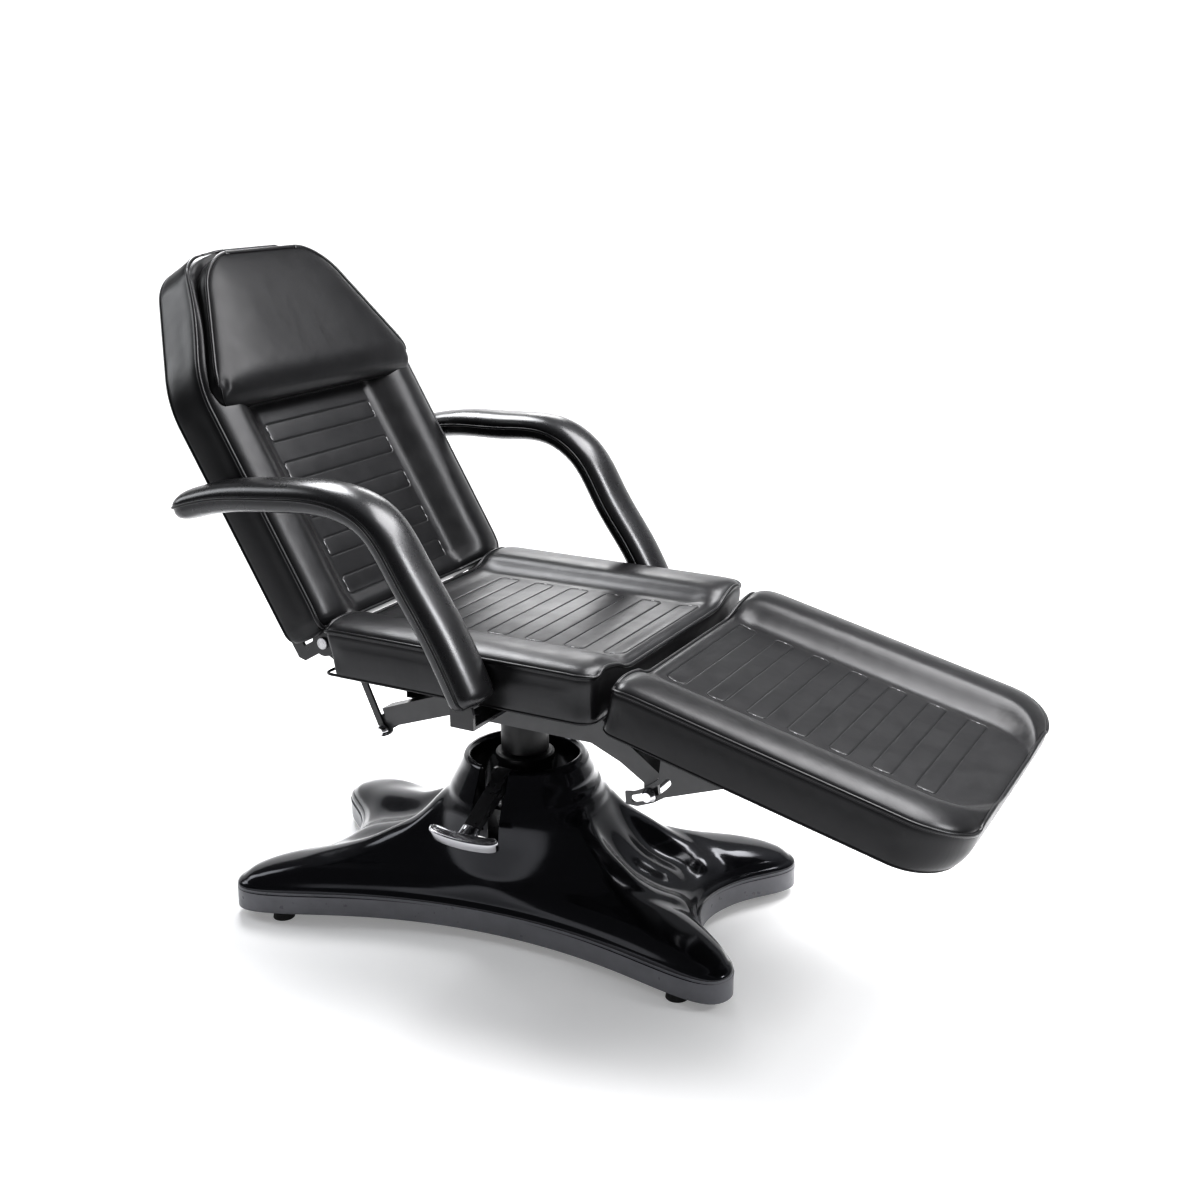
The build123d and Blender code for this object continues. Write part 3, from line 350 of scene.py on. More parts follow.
def frame_of(org, deg):
    """Local frame (s, y, n) in the row's frame: s climbs at deg from level along X, n is square to it."""
    a = math.radians(deg)
    t = np.array([math.cos(a), 0, math.sin(a)])
    n = np.array([-math.sin(a), 0, math.cos(a)])
    o = np.array([org[0] + SX, 0, org[1]])

    def place(q):
        q = np.asarray(q, float)
        return o + q[:, :1] * t + q[:, 1:2] * np.array([0, 1.0, 0]) + q[:, 2:3] * n

    return place


def back_place(q):
    """Local frame of the backrest: s climbs the back, n points to the front."""
    a = math.radians(59.27)
    t = np.array([-math.cos(a), 0, math.sin(a)])
    n = np.array([math.sin(a), 0, math.cos(a)])
    o = np.array([-0.206 + SX, 0, 0.602])
    q = np.asarray(q, float)
    return o + q[:, :1] * t + q[:, 1:2] * np.array([0, 1.0, 0]) + q[:, 2:3] * n


def rect_loop_distance(s, y, cs, hw, hl, r):
    """Distance to the outline of a rounded rectangle centred at cs."""
    dx = np.abs(s - cs) - (hw - r)
    dy = np.abs(y) - (hl - r)
    out = np.hypot(np.maximum(dx, 0), np.maximum(dy, 0)) + np.minimum(np.maximum(dx, dy), 0) - r
    return np.abs(out)


def rect_path(cs, hw, hl, r, step=0.004):
    pts = []
    for cx, cy, a0 in ((hw - r, hl - r, 0), (-hw + r, hl - r, 90), (-hw + r, -hl + r, 180), (hw - r, -hl + r, 270)):
        for a in np.linspace(a0, a0 + 90, 7):
            pts.append((cs + cx + r * math.cos(math.radians(a)), cy + r * math.sin(math.radians(a)), 0))
    return resample(pts, step, closed=True)


def pad_mesh(s_lines, y_lines, y_core, half_w, top, bottom_n, gusset, gusset_rows=12, core_scale=None, taper=None):
    """A closed cushion: a height field over an outline, side walls with their own profile, a flat underside.
    Returns verts in (s, y, n), faces, the perimeter points and the perimeter's outward directions."""
    S = np.asarray(s_lines)
    Y = np.asarray(y_lines)
    R, C = len(S), len(Y)
    w = half_w(S)
    wmax = Y.max()
    cs = np.ones(R) if core_scale is None else core_scale(S)
    ss = np.repeat(S[:, None], C, 1)
    yy = np.zeros((R, C))
    for i in range(R):
        core = y_core * cs[i]
        a = np.abs(Y)
        inner = a <= y_core
        v = np.where(inner, a * cs[i], core + (w[i] - core) * (a - y_core) / (wmax - y_core))
        yy[i] = np.sign(Y) * v
    topn = top(ss, yy, w[:, None])
    verts = [np.stack([ss, yy, topn], -1).reshape(-1, 3)]
    bot = np.full((R, C), bottom_n)
    verts.append(np.stack([ss, yy, bot], -1).reshape(-1, 3))
    faces = []
    idx = lambda i, j: i * C + j
    off = R * C
    for i in range(R - 1):
        for j in range(C - 1):
            faces.append((idx(i, j), idx(i + 1, j), idx(i + 1, j + 1), idx(i, j + 1)))
            faces.append((off + idx(i, j), off + idx(i, j + 1), off + idx(i + 1, j + 1), off + idx(i + 1, j)))
    per = [idx(i, 0) for i in range(R)] + [idx(R - 1, j) for j in range(1, C)] + [idx(i, C - 1) for i in range(R - 2, -1, -1)] + [idx(0, j) for j in range(C - 2, 0, -1)]
    flat = verts[0]
    P = flat[per]
    T = np.roll(P, -1, 0) - np.roll(P, 1, 0)
    T[:, 2] = 0
    T /= np.linalg.norm(T, axis=1)[:, None] + 1e-12
    N = np.stack([-T[:, 1], T[:, 0], np.zeros(len(P))], 1)
    cen = P.mean(0)
    if ((P - cen) * N).sum() < 0:
        N = -N
    # soften the outward direction round the corners
    for _ in range(3):
        N = (np.roll(N, 1, 0) + 2 * N + np.roll(N, -1, 0)) / 4
    N /= np.linalg.norm(N, axis=1)[:, None]
    K = gusset_rows
    prev = [p for p in per]
    base = 2 * R * C
    allv = [verts[0], verts[1]]
    for k in range(1, K):
        u = k / K
        pts = P + N * gusset(u, P)[:, None]
        pts[:, 2] = P[:, 2] + (bottom_n - P[:, 2]) * u
        allv.append(pts)
        cur = [base + (k - 1) * len(per) + q for q in range(len(per))]
        for q in range(len(per)):
            q2 = (q + 1) % len(per)
            faces.append((prev[q], prev[q2], cur[q2], cur[q]))
        prev = cur
    last = [off + p for p in per]
    for q in range(len(per)):
        q2 = (q + 1) % len(per)
        faces.append((prev[q], prev[q2], last[q2], last[q]))
    V = np.concatenate(allv)
    return V, faces, P, N


# ---------------------------------------------------------------- soft inflation of the pads
def inflate(name, verts, faces, place, hold, cap, voxel=0.009, pressure=4.0):
    """Blows the pad up as cloth under air pressure and returns how far each vertex moves, with the held zones still.
    The cloth runs on a coarse copy, and its movement is carried over to the fine mesh."""
    me = bpy.data.meshes.new(name + "_sim")
    world = place(verts)
    me.from_pydata([tuple(v) for v in world], [], [tuple(f) for f in faces])
    me.update()
    ob = bpy.data.objects.new(name + "_sim", me)
    bpy.context.scene.collection.objects.link(ob)
    bpy.context.view_layer.objects.active = ob
    ob.select_set(True)
    me.remesh_voxel_size = voxel
    me.remesh_voxel_adaptivity = 0.0
    bpy.ops.object.voxel_remesh()
    me = ob.data
    rest = np.zeros(len(me.vertices) * 3)
    me.vertices.foreach_get("co", rest)
    rest = rest.reshape(-1, 3)
    near = KDTree(len(world))
    for i, v in enumerate(world):
        near.insert(v, i)
    near.balance()
    owner = np.array([near.find(v)[1] for v in rest])
    w = hold[owner]
    group = ob.vertex_groups.new(name="pin")
    for level in (0.25, 0.5, 0.75, 1.0):
        ids = [int(i) for i in np.where((w > level - 0.25) & (w <= level))[0]]
        if ids:
            group.add(ids, level, "REPLACE")
    mod = ob.modifiers.new("cloth", "CLOTH")
    st = mod.settings
    st.quality = 4
    st.mass = 0.3
    st.use_pressure = True
    st.uniform_pressure_force = pressure
    st.tension_stiffness = 12
    st.compression_stiffness = 12
    st.shear_stiffness = 6
    st.bending_stiffness = 0.4
    st.vertex_group_mass = "pin"
    st.effector_weights.gravity = 0.0
    mod.collision_settings.use_collision = False
    scene = bpy.context.scene
    for f in range(1, 15):
        scene.frame_set(f)
    dg = bpy.context.evaluated_depsgraph_get()
    ev = ob.evaluated_get(dg)
    em = ev.to_mesh()
    out = np.zeros(len(em.vertices) * 3)
    em.vertices.foreach_get("co", out)
    out = out.reshape(-1, 3)
    ev.to_mesh_clear()
    move = out - rest
    scene.frame_set(1)
    bpy.data.objects.remove(ob, do_unlink=True)
    length = np.linalg.norm(move, axis=1)
    move *= (np.minimum(length, cap) / (length + 1e-12))[:, None]
    tree = KDTree(len(rest))
    for i, v in enumerate(rest):
        tree.insert(v, i)
    tree.balance()
    carried = np.zeros_like(world)
    for i, v in enumerate(world):
        found = tree.find_n(v, 5)
        ws = np.array([1.0 / (d * d + 1e-6) for _, _, d in found])
        carried[i] = (move[[k for _, k, _ in found]] * ws[:, None]).sum(0) / ws.sum()
    print(f"INFLATE {name}: {len(rest)} points, moved up to {np.linalg.norm(carried, axis=1).max() * 1000:.1f} mm")
    return carried * (1 - hold)[:, None]


def finish_pad(name, verts, faces, place, body, nodes, material=VINYL, carried=None):
    world = place(verts)
    if carried is not None:
        world = world + carried
    ob = make_object(name, world, faces, material)
    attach(ob, body)
    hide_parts(*nodes)
    return ob, world


def trim(name, parts, material, body):
    v, f = join_arrays(parts)
    ob = make_object(name, v, f, material)
    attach(ob, body)
    return ob


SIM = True

# ---------------------------------------------------------------- seat cushion
SEAT_L0, SEAT_L1 = -0.1955, 0.3145
SEAT_RECTS = [0.050 + 0.075 * k for k in range(-2, 4)]
SEAT_HW, SEAT_HL = 0.0197, 0.148


def seat_place(q):
    q = np.asarray(q, float)
    return np.stack([q[:, 0] + SX, q[:, 1], q[:, 2] + 0.602], 1)


def seat_half_w(s):
    r = 0.030
    front = np.clip(s - (SEAT_L1 - r), 0, r)
    w = 0.300 - (r - np.sqrt(np.maximum(r * r - front**2, 0))) * 0.9
    r2 = 0.012
    rear = np.clip((SEAT_L0 + r2) - s, 0, r2)
    return w - (r2 - np.sqrt(np.maximum(r2 * r2 - rear**2, 0)))


def seat_top(s, y, w):
    a = np.abs(y)
    side = w - a
    # bolster: falls in a soft roll from the crown to the recess
    depth = 0.0185 * (1 - smoothstep(a, 0.158, 0.216))
    front_fade = 1 - 0.5 * smoothstep(s, SEAT_L1 - 0.055, SEAT_L1)
    rear_fade = 1 - 0.30 * (1 - smoothstep(s, SEAT_L0, SEAT_L0 + 0.05))
    crown = 0.0075 * np.sin(np.clip((a - 0.19) / (0.300 - 0.19), 0, 1) * math.pi) ** 0.8
    n = crown - depth * front_fade * rear_fade
    # the tops of the walls roll over
    n -= 0.0065 * np.exp(-np.clip(side, 0, 1) / 0.007)
    n -= 0.016 * np.exp(-np.clip(SEAT_L1 - s, 0, 1) / 0.011) * (1 - 0.45 * smoothstep(a, 0.19, 0.27))
    n -= 0.006 * np.exp(-np.clip(s - SEAT_L0, 0, 1) / 0.008)
    # stitched channels
    for c in SEAT_RECTS:
        d = rect_loop_distance(s, y, c, SEAT_HW, SEAT_HL, 0.008)
        n -= 0.0008 * np.exp(-(d / 0.0012) ** 2)
        inside = (np.abs(s - c) < SEAT_HW) & (a < SEAT_HL)
        puff = np.clip(np.minimum(SEAT_HW - np.abs(s - c), SEAT_HL - a), 0, 0.012) / 0.012
        n += np.where(inside, 0.0004 * np.sin(puff * math.pi / 2), 0)
    return n


def seat_gusset(u, P):
    edge = min(u, 1 - u)
    b = 0.0032 * (1 - math.exp(-edge / 0.07)) - 0.0022 * math.sin(math.pi * u) ** 2
    out = np.full(len(P), b)
    # the rear wall slants forwards under the backrest
    rear = 1 - smoothstep(P[:, 0], SEAT_L0, SEAT_L0 + 0.004)
    out = out - rear * 0.026 * u
    return out


s_fine = [c + q * SEAT_HW for c in SEAT_RECTS for q in (-1, 1)]
seat_s = lines(SEAT_L0, SEAT_L1, 0.0055, s_fine)
seat_s = np.unique(np.r_[seat_s, SEAT_L1 - 0.030 * (1 - np.sin(np.linspace(0, math.pi / 2, 12))), SEAT_L0 + 0.012 * (1 - np.sin(np.linspace(0, math.pi / 2, 7)))])
seat_y = lines(-0.300, 0.300, 0.0065, [-SEAT_HL, SEAT_HL, -0.2995, 0.2995])
sv, sf, sP, sN = pad_mesh(seat_s, seat_y, 0.16, seat_half_w, seat_top, -0.0868, seat_gusset, 13)
# slant the lower part of the rear wall
low = np.clip(-sv[:, 2] / 0.0868, 0, 1)
rear_zone = np.clip((SEAT_L0 + 0.06 - sv[:, 0]) / 0.06, 0, 1)
sv[:, 0] += rear_zone * low * 0.021
hold = np.zeros(len(sv))
hold[sv[:, 2] < -0.0855] = 1
edge_d = np.minimum.reduce([seat_half_w(sv[:, 0]) - np.abs(sv[:, 1]), SEAT_L1 - sv[:, 0], sv[:, 0] - SEAT_L0])
hold = np.maximum(hold, np.where(sv[:, 2] > -0.03, np.exp(-(np.maximum(edge_d, 0) / 0.008) ** 2), 0))
hold = np.maximum(hold, (1 - smoothstep(np.abs(sv[:, 1]), 0.165, 0.2)) * (sv[:, 2] > -0.06))
carried = inflate("seat", sv, sf, seat_place, hold, 0.007) if SIM else None
seat_obj, seat_world = finish_pad("seat_upholstery", sv, sf, seat_place, "seat", ["seat_cushion", "seat_board"], carried=carried)


def edge_piping(P, N, place, out, up, radius, step=0.004, lift=None):
    q = P + N * out
    q[:, 2] = P[:, 2] + up
    loop = resample(place(q), step, closed=True)
    return tube(loop, radius, 10, closed=True)


trim("seat_piping", [edge_piping(sP, sN, seat_place, 0.0012, 0.0004, 0.0034), edge_piping(sP * np.array([1, 1, 0]) + np.array([0, 0, -0.0835]), sN, seat_place, 0.0006, 0, 0.0026)], PIPING, "seat")


def channel_threads(rects, hw, hl, r, surf, place, lift=0.0):
    parts = []
    for c in rects:
        p = rect_path(c, hw, hl, r)
        p[:, 2] = surf(p[:, 0], p[:, 1]) + lift
        parts.append(tube(place(p), 0.00045, 5, closed=True))
    return parts


def surf_of(top, half_w):
    def f(s, y):
        return top(np.asarray(s, float), np.asarray(y, float), half_w(np.asarray(s, float)))

    return f


seat_surf = surf_of(seat_top, seat_half_w)
trim("seat_channel_stitching", channel_threads(SEAT_RECTS, SEAT_HW, SEAT_HL, 0.008, seat_surf, seat_place, 0.0003), SHADOW_THREAD, "seat")


def dashes(centres, along, length, surf, place, lift=0.0006, radius=0.0009):
    """Short pale stitches whose paleness is a painted glint: centres are (s, y), along is the local direction."""
    parts = []
    for (cs, cy), (ds, dy) in zip(centres, along):
        k = np.linspace(-0.5, 0.5, 5) * length
        s = cs + ds * k
        y = cy + dy * k
        n = surf(s, y) + lift
        parts.append(tube(place(np.stack([s, y, n], 1)), np.array([0.4, 1, 1, 1, 0.4]) * radius, 6))
    return parts


# pale stitch dashes at the closed channel ends: painted glints
cen, dirs = [], []
for c in SEAT_RECTS:
    for side in (-1, 1):
        cen.append((c, side * SEAT_HL))
        dirs.append((1, 0))
trim("seat_thread_glints_painted", dashes(cen, dirs, 0.006, seat_surf, seat_place), GLINT_THREAD, "seat")

# ---------------------------------------------------------------- leg rest cushion
leg_place = frame_of((0.351, 0.594), -13.76)
LEG_L = 0.571
LEG_RECTS = [0.045 + 0.071 * k for k in range(7)]
LEG_HW, LEG_HL = 0.0165, 0.152


def leg_half_w(s):
    r = 0.089
    f = np.clip(s - (LEG_L - r), 0, r)
    w = 0.300 - (r - np.sqrt(np.maximum(r * r - f**2, 0)))
    r2 = 0.022
    b = np.clip(r2 - s, 0, r2)
    return w - (r2 - np.sqrt(np.maximum(r2 * r2 - b**2, 0)))


def leg_top(s, y, w):
    a = np.abs(y)
    side = w - a
    front = LEG_L - s
    recess = smoothstep(side, 0.072, 0.137)
    rear_fade = 1 - 0.45 * (1 - smoothstep(s, 0.0, 0.045))
    crown = 0.0065 * np.sin(np.clip(side / 0.10, 0, 1) * math.pi) ** 0.8
    n = crown - 0.0255 * recess * rear_fade
    # the side rolls end in a round at the front edge, and the middle rises to it a little
    near_edge = np.exp(-((np.clip(front, 0, 1) / 0.030) ** 1.4))
    n = n * (1 - near_edge) + (-0.0095 - 0.0085 * recess) * near_edge
    n -= 0.0065 * np.exp(-np.clip(side, 0, 1) / 0.007)
    n -= 0.006 * np.exp(-np.clip(front, 0, 1) / 0.008)
    n -= 0.016 * np.exp(-np.clip(s, 0, 1) / 0.012) * (1 - 0.4 * smoothstep(a, 0.19, 0.27))
    for c in LEG_RECTS:
        d = rect_loop_distance(s, y, c, LEG_HW, LEG_HL, 0.007)
        n -= 0.0008 * np.exp(-(d / 0.0012) ** 2)
        inside = (np.abs(s - c) < LEG_HW) & (a < LEG_HL)
        puff = np.clip(np.minimum(LEG_HW - np.abs(s - c), LEG_HL - a), 0, 0.012) / 0.012
        n += np.where(inside, 0.0004 * np.sin(puff * math.pi / 2), 0)
    return n


def leg_gusset(u, P):
    edge = min(u, 1 - u)
    b = 0.0035 * (1 - math.exp(-edge / 0.08)) - 0.0015 * math.sin(math.pi * u) ** 2
    out = np.full(len(P), b)
    return out


leg_fine = [c + q * LEG_HW for c in LEG_RECTS for q in (-1, 1)]
leg_s = lines(0.0, LEG_L, 0.0055, leg_fine)
leg_s = np.unique(np.r_[leg_s, LEG_L - 0.095 * (1 - np.sin(np.linspace(0, math.pi / 2, 26))), 0.022 * (1 - np.sin(np.linspace(0, math.pi / 2, 9)))])
leg_y = lines(-0.300, 0.300, 0.0065, [-LEG_HL, LEG_HL, -0.2995, 0.2995])
lv, lf, lP, lN = pad_mesh(leg_s, leg_y, 0.165, leg_half_w, leg_top, -0.0848, leg_gusset, 13)


def leg_under(v):
    """The lower front edge is rounded back under the cushion."""
    v = np.array(v, float)
    deep = np.clip((-v[:, 2] - 0.042) / 0.043, 0, 1) ** 2
    v[:, 0] -= deep * smoothstep(v[:, 0], LEG_L - 0.15, LEG_L) * 0.017
    return v


lv = leg_under(lv)
hold = np.zeros(len(lv))
hold[lv[:, 2] < -0.0835] = 1
edge_d = np.minimum.reduce([leg_half_w(lv[:, 0]) - np.abs(lv[:, 1]), LEG_L - lv[:, 0], lv[:, 0]])
hold = np.maximum(hold, np.where(lv[:, 2] > -0.03, np.exp(-(np.maximum(edge_d, 0) / 0.008) ** 2), 0))
hold = np.maximum(hold, (1 - smoothstep(np.abs(lv[:, 1]), 0.165, 0.2)) * (lv[:, 2] > -0.06) * (lv[:, 0] < 0.5))
carried = inflate("leg_rest", lv, lf, leg_place, hold, 0.007) if SIM else None
leg_obj, leg_world = finish_pad("leg_rest_upholstery", lv, lf, leg_place, "leg_rest", ["leg_cushion", "leg_board"], LEG_VINYL, carried)
trim("leg_rest_piping", [edge_piping(lP, lN, leg_place, 0.0012, 0.0004, 0.0034), edge_piping(lP * np.array([1, 1, 0]) + np.array([0, 0, -0.0815]), lN, lambda q: leg_place(leg_under(q)), 0.0006, 0, 0.0024)], PIPING, "leg_rest")
leg_surf = surf_of(leg_top, leg_half_w)
trim("leg_channel_stitching", channel_threads(LEG_RECTS, LEG_HW, LEG_HL, 0.007, leg_surf, leg_place, 0.0003), SHADOW_THREAD, "leg_rest")
# pale stitch dashes at the closed channel ends: painted glints
cen, dirs = [], []
for c in LEG_RECTS:
    for side in (-1, 1):
        cen.append((c, side * LEG_HL))
        dirs.append((1, 0))
trim("leg_thread_glints_painted", dashes(cen, dirs, 0.006, leg_surf, leg_place), GLINT_THREAD, "leg_rest")

# ---------------------------------------------------------------- back cushion
BACK_L = 0.690
BACK_RECTS = [0.349 - 0.0752 * k for k in range(-1, 5)]
BACK_HW, BACK_HL = 0.01735, 0.151


def back_half_w(s):
    s = np.asarray(s, float)
    w = np.zeros_like(s)
    # straight sides and a tapered head, with the corner between them eased
    for d in np.linspace(-0.045, 0.045, 13):
        w = w + np.interp(s + d, [0.0, 0.455, 0.69, 0.75], [0.286, 0.286, 0.162, 0.130]) / 13
    r = 0.050
    top = np.clip(s - (BACK_L - r), 0, r)
    w = w - (r - np.sqrt(np.maximum(r * r - top**2, 0)))
    r2 = 0.020
    bot = np.clip(r2 - 0.005 - s, 0, r2)
    return w - (r2 - np.sqrt(np.maximum(r2 * r2 - bot**2, 0))) * 0.8


def back_top(s, y, w):
    a = np.abs(y)
    side = w - a
    lower = 1 - smoothstep(s, 0.40, 0.46)          # hidden under the pillow above this
    depth = 0.034 * (1 - smoothstep(a, 0.152, 0.235)) * (0.25 + 0.75 * lower)
    foot = 1 - 0.28 * (1 - smoothstep(s, 0.0, 0.040))
    crown = 0.0080 * np.sin(np.clip((a - 0.17) / (0.286 - 0.17), 0, 1) * math.pi) ** 0.8
    n = crown - depth * foot - 0.0
    n -= 0.0075 * np.exp(-np.clip(side, 0, 1) / 0.008)
    n -= 0.010 * np.exp(-np.clip(BACK_L - s, 0, 1) / 0.010)
    n -= 0.011 * np.exp(-np.clip(s + 0.005, 0, 1) / 0.010)
    # pressed down a little where the pillow lies
    press = smoothstep(s, 0.40, 0.44) * (1 - smoothstep(a, w - 0.035, w - 0.012))
    n = n * (1 - press) + (-0.012) * press
    for c in BACK_RECTS:
        d = rect_loop_distance(s, y, c, BACK_HW, BACK_HL, 0.006)
        n -= 0.0008 * np.exp(-(d / 0.0012) ** 2)
        inside = (np.abs(s - c) < BACK_HW) & (a < BACK_HL)
        puff = np.clip(np.minimum(BACK_HW - np.abs(s - c), BACK_HL - a), 0, 0.012) / 0.012
        n += np.where(inside, 0.0004 * np.sin(puff * math.pi / 2), 0)
    return n


def back_gusset(u, P):
    edge = min(u, 1 - u)
    b = 0.0040 * (1 - math.exp(-edge / 0.08)) - 0.0010 * math.sin(math.pi * u) ** 2
    # the foam rolls out under the lower end
    return np.full(len(P), b) + (1 - smoothstep(P[:, 0], -0.004, 0.006)) * 0.005 * math.sin(math.pi * u) ** 0.8


back_fine = [c + q * BACK_HW for c in BACK_RECTS for q in (-1, 1)]
BACK_S0 = -0.005
back_s = lines(BACK_S0, BACK_L, 0.006, back_fine)
back_s = np.unique(np.r_[back_s, BACK_L - 0.050 * (1 - np.sin(np.linspace(0, math.pi / 2, 22))), BACK_S0 + 0.020 * (1 - np.sin(np.linspace(0, math.pi / 2, 9)))])
back_y = lines(-0.286, 0.286, 0.0065, [-BACK_HL, BACK_HL, -0.2855, 0.2855])
bv, bf, bP, bN = pad_mesh(
    back_s, back_y, 0.16, back_half_w, back_top, -0.0911, back_gusset, 13,
    core_scale=lambda s: np.interp(s, [0, 0.5, 0.60, 0.66, 0.69], [1, 1, 0.85, 0.66, 0.42]),
)
# the two hinge arms press the foam in at the lower end
arm_room = np.exp(-((np.abs(bv[:, 1]) - 0.243) / 0.017) ** 4) * smoothstep(bv[:, 2], -0.086, -0.077) * (1 - smoothstep(bv[:, 2], -0.024, -0.015)) * (bv[:, 0] < 0.002)
bv[:, 0] += arm_room * np.clip(-0.0010 - bv[:, 0], 0, 1)
hold = arm_room.copy()
hold[bv[:, 2] < -0.0900] = 1
edge_d = np.minimum.reduce([back_half_w(bv[:, 0]) - np.abs(bv[:, 1]), BACK_L - bv[:, 0], bv[:, 0] - BACK_S0])
hold = np.maximum(hold, np.where(bv[:, 2] > -0.035, np.exp(-(np.maximum(edge_d, 0) / 0.008) ** 2), 0))
hold = np.maximum(hold, (1 - smoothstep(np.abs(bv[:, 1]), 0.165, 0.21)) * (bv[:, 2] > -0.07))
hold = np.maximum(hold, smoothstep(bv[:, 0], 0.40, 0.43) * (bv[:, 2] > -0.02) * (edge_d > 0.02))
carried = inflate("backrest", bv, bf, back_place, hold, 0.008) if SIM else None
back_obj, back_world = finish_pad("backrest_upholstery", bv, bf, back_place, "backrest", ["back_cushion", "back_board"], BACK_VINYL, carried)
trim("backrest_piping", [edge_piping(bP, bN, back_place, 0.0014, 0.0004, 0.0036), edge_piping(bP * np.array([1, 1, 0]) + np.array([0, 0, -0.088]), bN, back_place, 0.0008, 0, 0.0028)], PIPING, "backrest")
back_surf = surf_of(back_top, back_half_w)
trim("back_channel_stitching", channel_threads([c for c in BACK_RECTS if c < 0.42], BACK_HW, BACK_HL, 0.006, back_surf, back_place, 0.0003), SHADOW_THREAD, "backrest")
# pale stitch dashes at the closed channel ends: painted glints
cen, dirs = [], []
for c in BACK_RECTS:
    if c > 0.40:
        continue
    for side in (-1, 1):
        for o in (-0.0085, 0.0085):
            cen.append((c + o, side * BACK_HL))
            dirs.append((1, 0))
trim("back_thread_glints_painted", dashes(cen, dirs, 0.0085, back_surf, back_place), GLINT_THREAD, "backrest")


# ---------------------------------------------------------------- lining cloth under the three pads
def lining(name, s0, s1, half_w, z, place, body, inset=0.012):
    S = np.linspace(s0 + inset, s1 - inset, 60)
    w = np.maximum(half_w(S) - inset, 0.01)
    rows = []
    for dz in (0.0006, -0.0007):
        grid = np.stack([np.repeat(S[:, None], 25, 1), np.linspace(-1, 1, 25)[None, :] * w[:, None], np.full((60, 25), z + dz)], -1)
        rows.append(grid.reshape(-1, 3))
    v = np.concatenate(rows)
    n = 60 * 25
    f = []
    for i in range(59):
        for j in range(24):
            a, b, c, d = i * 25 + j, (i + 1) * 25 + j, (i + 1) * 25 + j + 1, i * 25 + j + 1
            f.append((a, b, c, d))
            f.append((n + a, n + d, n + c, n + b))
    rim = [i * 25 for i in range(60)] + [59 * 25 + j for j in range(1, 25)] + [i * 25 + 24 for i in range(58, -1, -1)] + [j for j in range(23, 0, -1)]
    for a, b in zip(rim, rim[1:] + rim[:1]):
        f.append((a, n + a, n + b, b))
    ob = make_object(name, place(v), f, LINING, smooth=False)
    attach(ob, body)
    return ob


lining("seat_lining", SEAT_L0 + 0.03, SEAT_L1, seat_half_w, -0.0869, seat_place, "seat")
lining("leg_rest_lining", 0.0, LEG_L - 0.020, leg_half_w, -0.0849, leg_place, "leg_rest", 0.016)
lining("backrest_lining", BACK_S0, BACK_L, back_half_w, -0.0912, back_place, "backrest")

# ---------------------------------------------------------------- head pillow
PIL_S0, PIL_S1 = 0.398, 0.672


def pillow_half_w(s):
    s = np.asarray(s, float)
    w = np.zeros_like(s)
    for d in np.linspace(-0.018, 0.018, 7):
        w = w + np.interp(s + d, [0.380, 0.450, 0.672, 0.70], [0.276, 0.268, 0.152, 0.137]) / 7
    r = 0.060
    t = np.clip(s - (PIL_S1 - r), 0, r)
    w = w - (r - np.sqrt(np.maximum(r * r - t**2, 0)))
    r2 = 0.026
    b = np.clip((PIL_S0 + r2) - s, 0, r2)
    return w - (r2 - np.sqrt(np.maximum(r2 * r2 - b**2, 0)))


def pillow_top(s, y, w):
    side = np.clip(w - np.abs(y), 0, 1)
    up = np.clip(PIL_S1 - s, 0, 1)
    low = np.clip(s - PIL_S0, 0, 1)
    puff = (1 - np.exp(-side / 0.040)) * (1 - np.exp(-up / 0.045))
    n = 0.0225 + 0.0125 * puff - 0.0035 * np.exp(-np.minimum(side, up) / 0.005)
    # the face rolls round the lower edge down to the backrest
    k = np.clip(1 - low / 0.062, 0, 1)
    roll = 1 - np.sqrt(np.maximum(1 - k ** 2.3, 0))
    n = n - (n + 0.004) * roll
    n -= 0.003 * np.exp(-(((s - 0.55) / 0.09) ** 2 + (y / 0.14) ** 2))
    return n


def pillow_gusset(u, P):
    b = 0.0045 * math.sin(math.pi * u) ** 0.7
    out = np.full(len(P), b)
    low_edge = 1 - smoothstep(P[:, 0], PIL_S0 - 0.001, PIL_S0 + 0.03)
    return out - low_edge * 0.010 * u


pil_s = lines(PIL_S0, PIL_S1, 0.006)
pil_s = np.unique(np.r_[pil_s, PIL_S1 - 0.066 * (1 - np.sin(np.linspace(0, math.pi / 2, 20))), PIL_S0 + 0.026 * (1 - np.sin(np.linspace(0, math.pi / 2, 10)))])
pil_y = lines(-0.272, 0.272, 0.0065, [-0.2715, 0.2715])
pv, pf, pP, pN = pad_mesh(
    pil_s, pil_y, 0.10, pillow_half_w, pillow_top, -0.0118, pillow_gusset, 12,
)
hold = np.zeros(len(pv))
hold[pv[:, 2] < -0.011] = 1
edge_d = np.minimum.reduce([pillow_half_w(pv[:, 0]) - np.abs(pv[:, 1]), PIL_S1 - pv[:, 0], pv[:, 0] - PIL_S0])
hold = np.maximum(hold, np.where(pv[:, 2] > 0.012, 0.7 * np.exp(-(np.maximum(edge_d, 0) / 0.008) ** 2), 0))
carried = inflate("pillow", pv, pf, back_place, hold, 0.010, voxel=0.007) if SIM else None
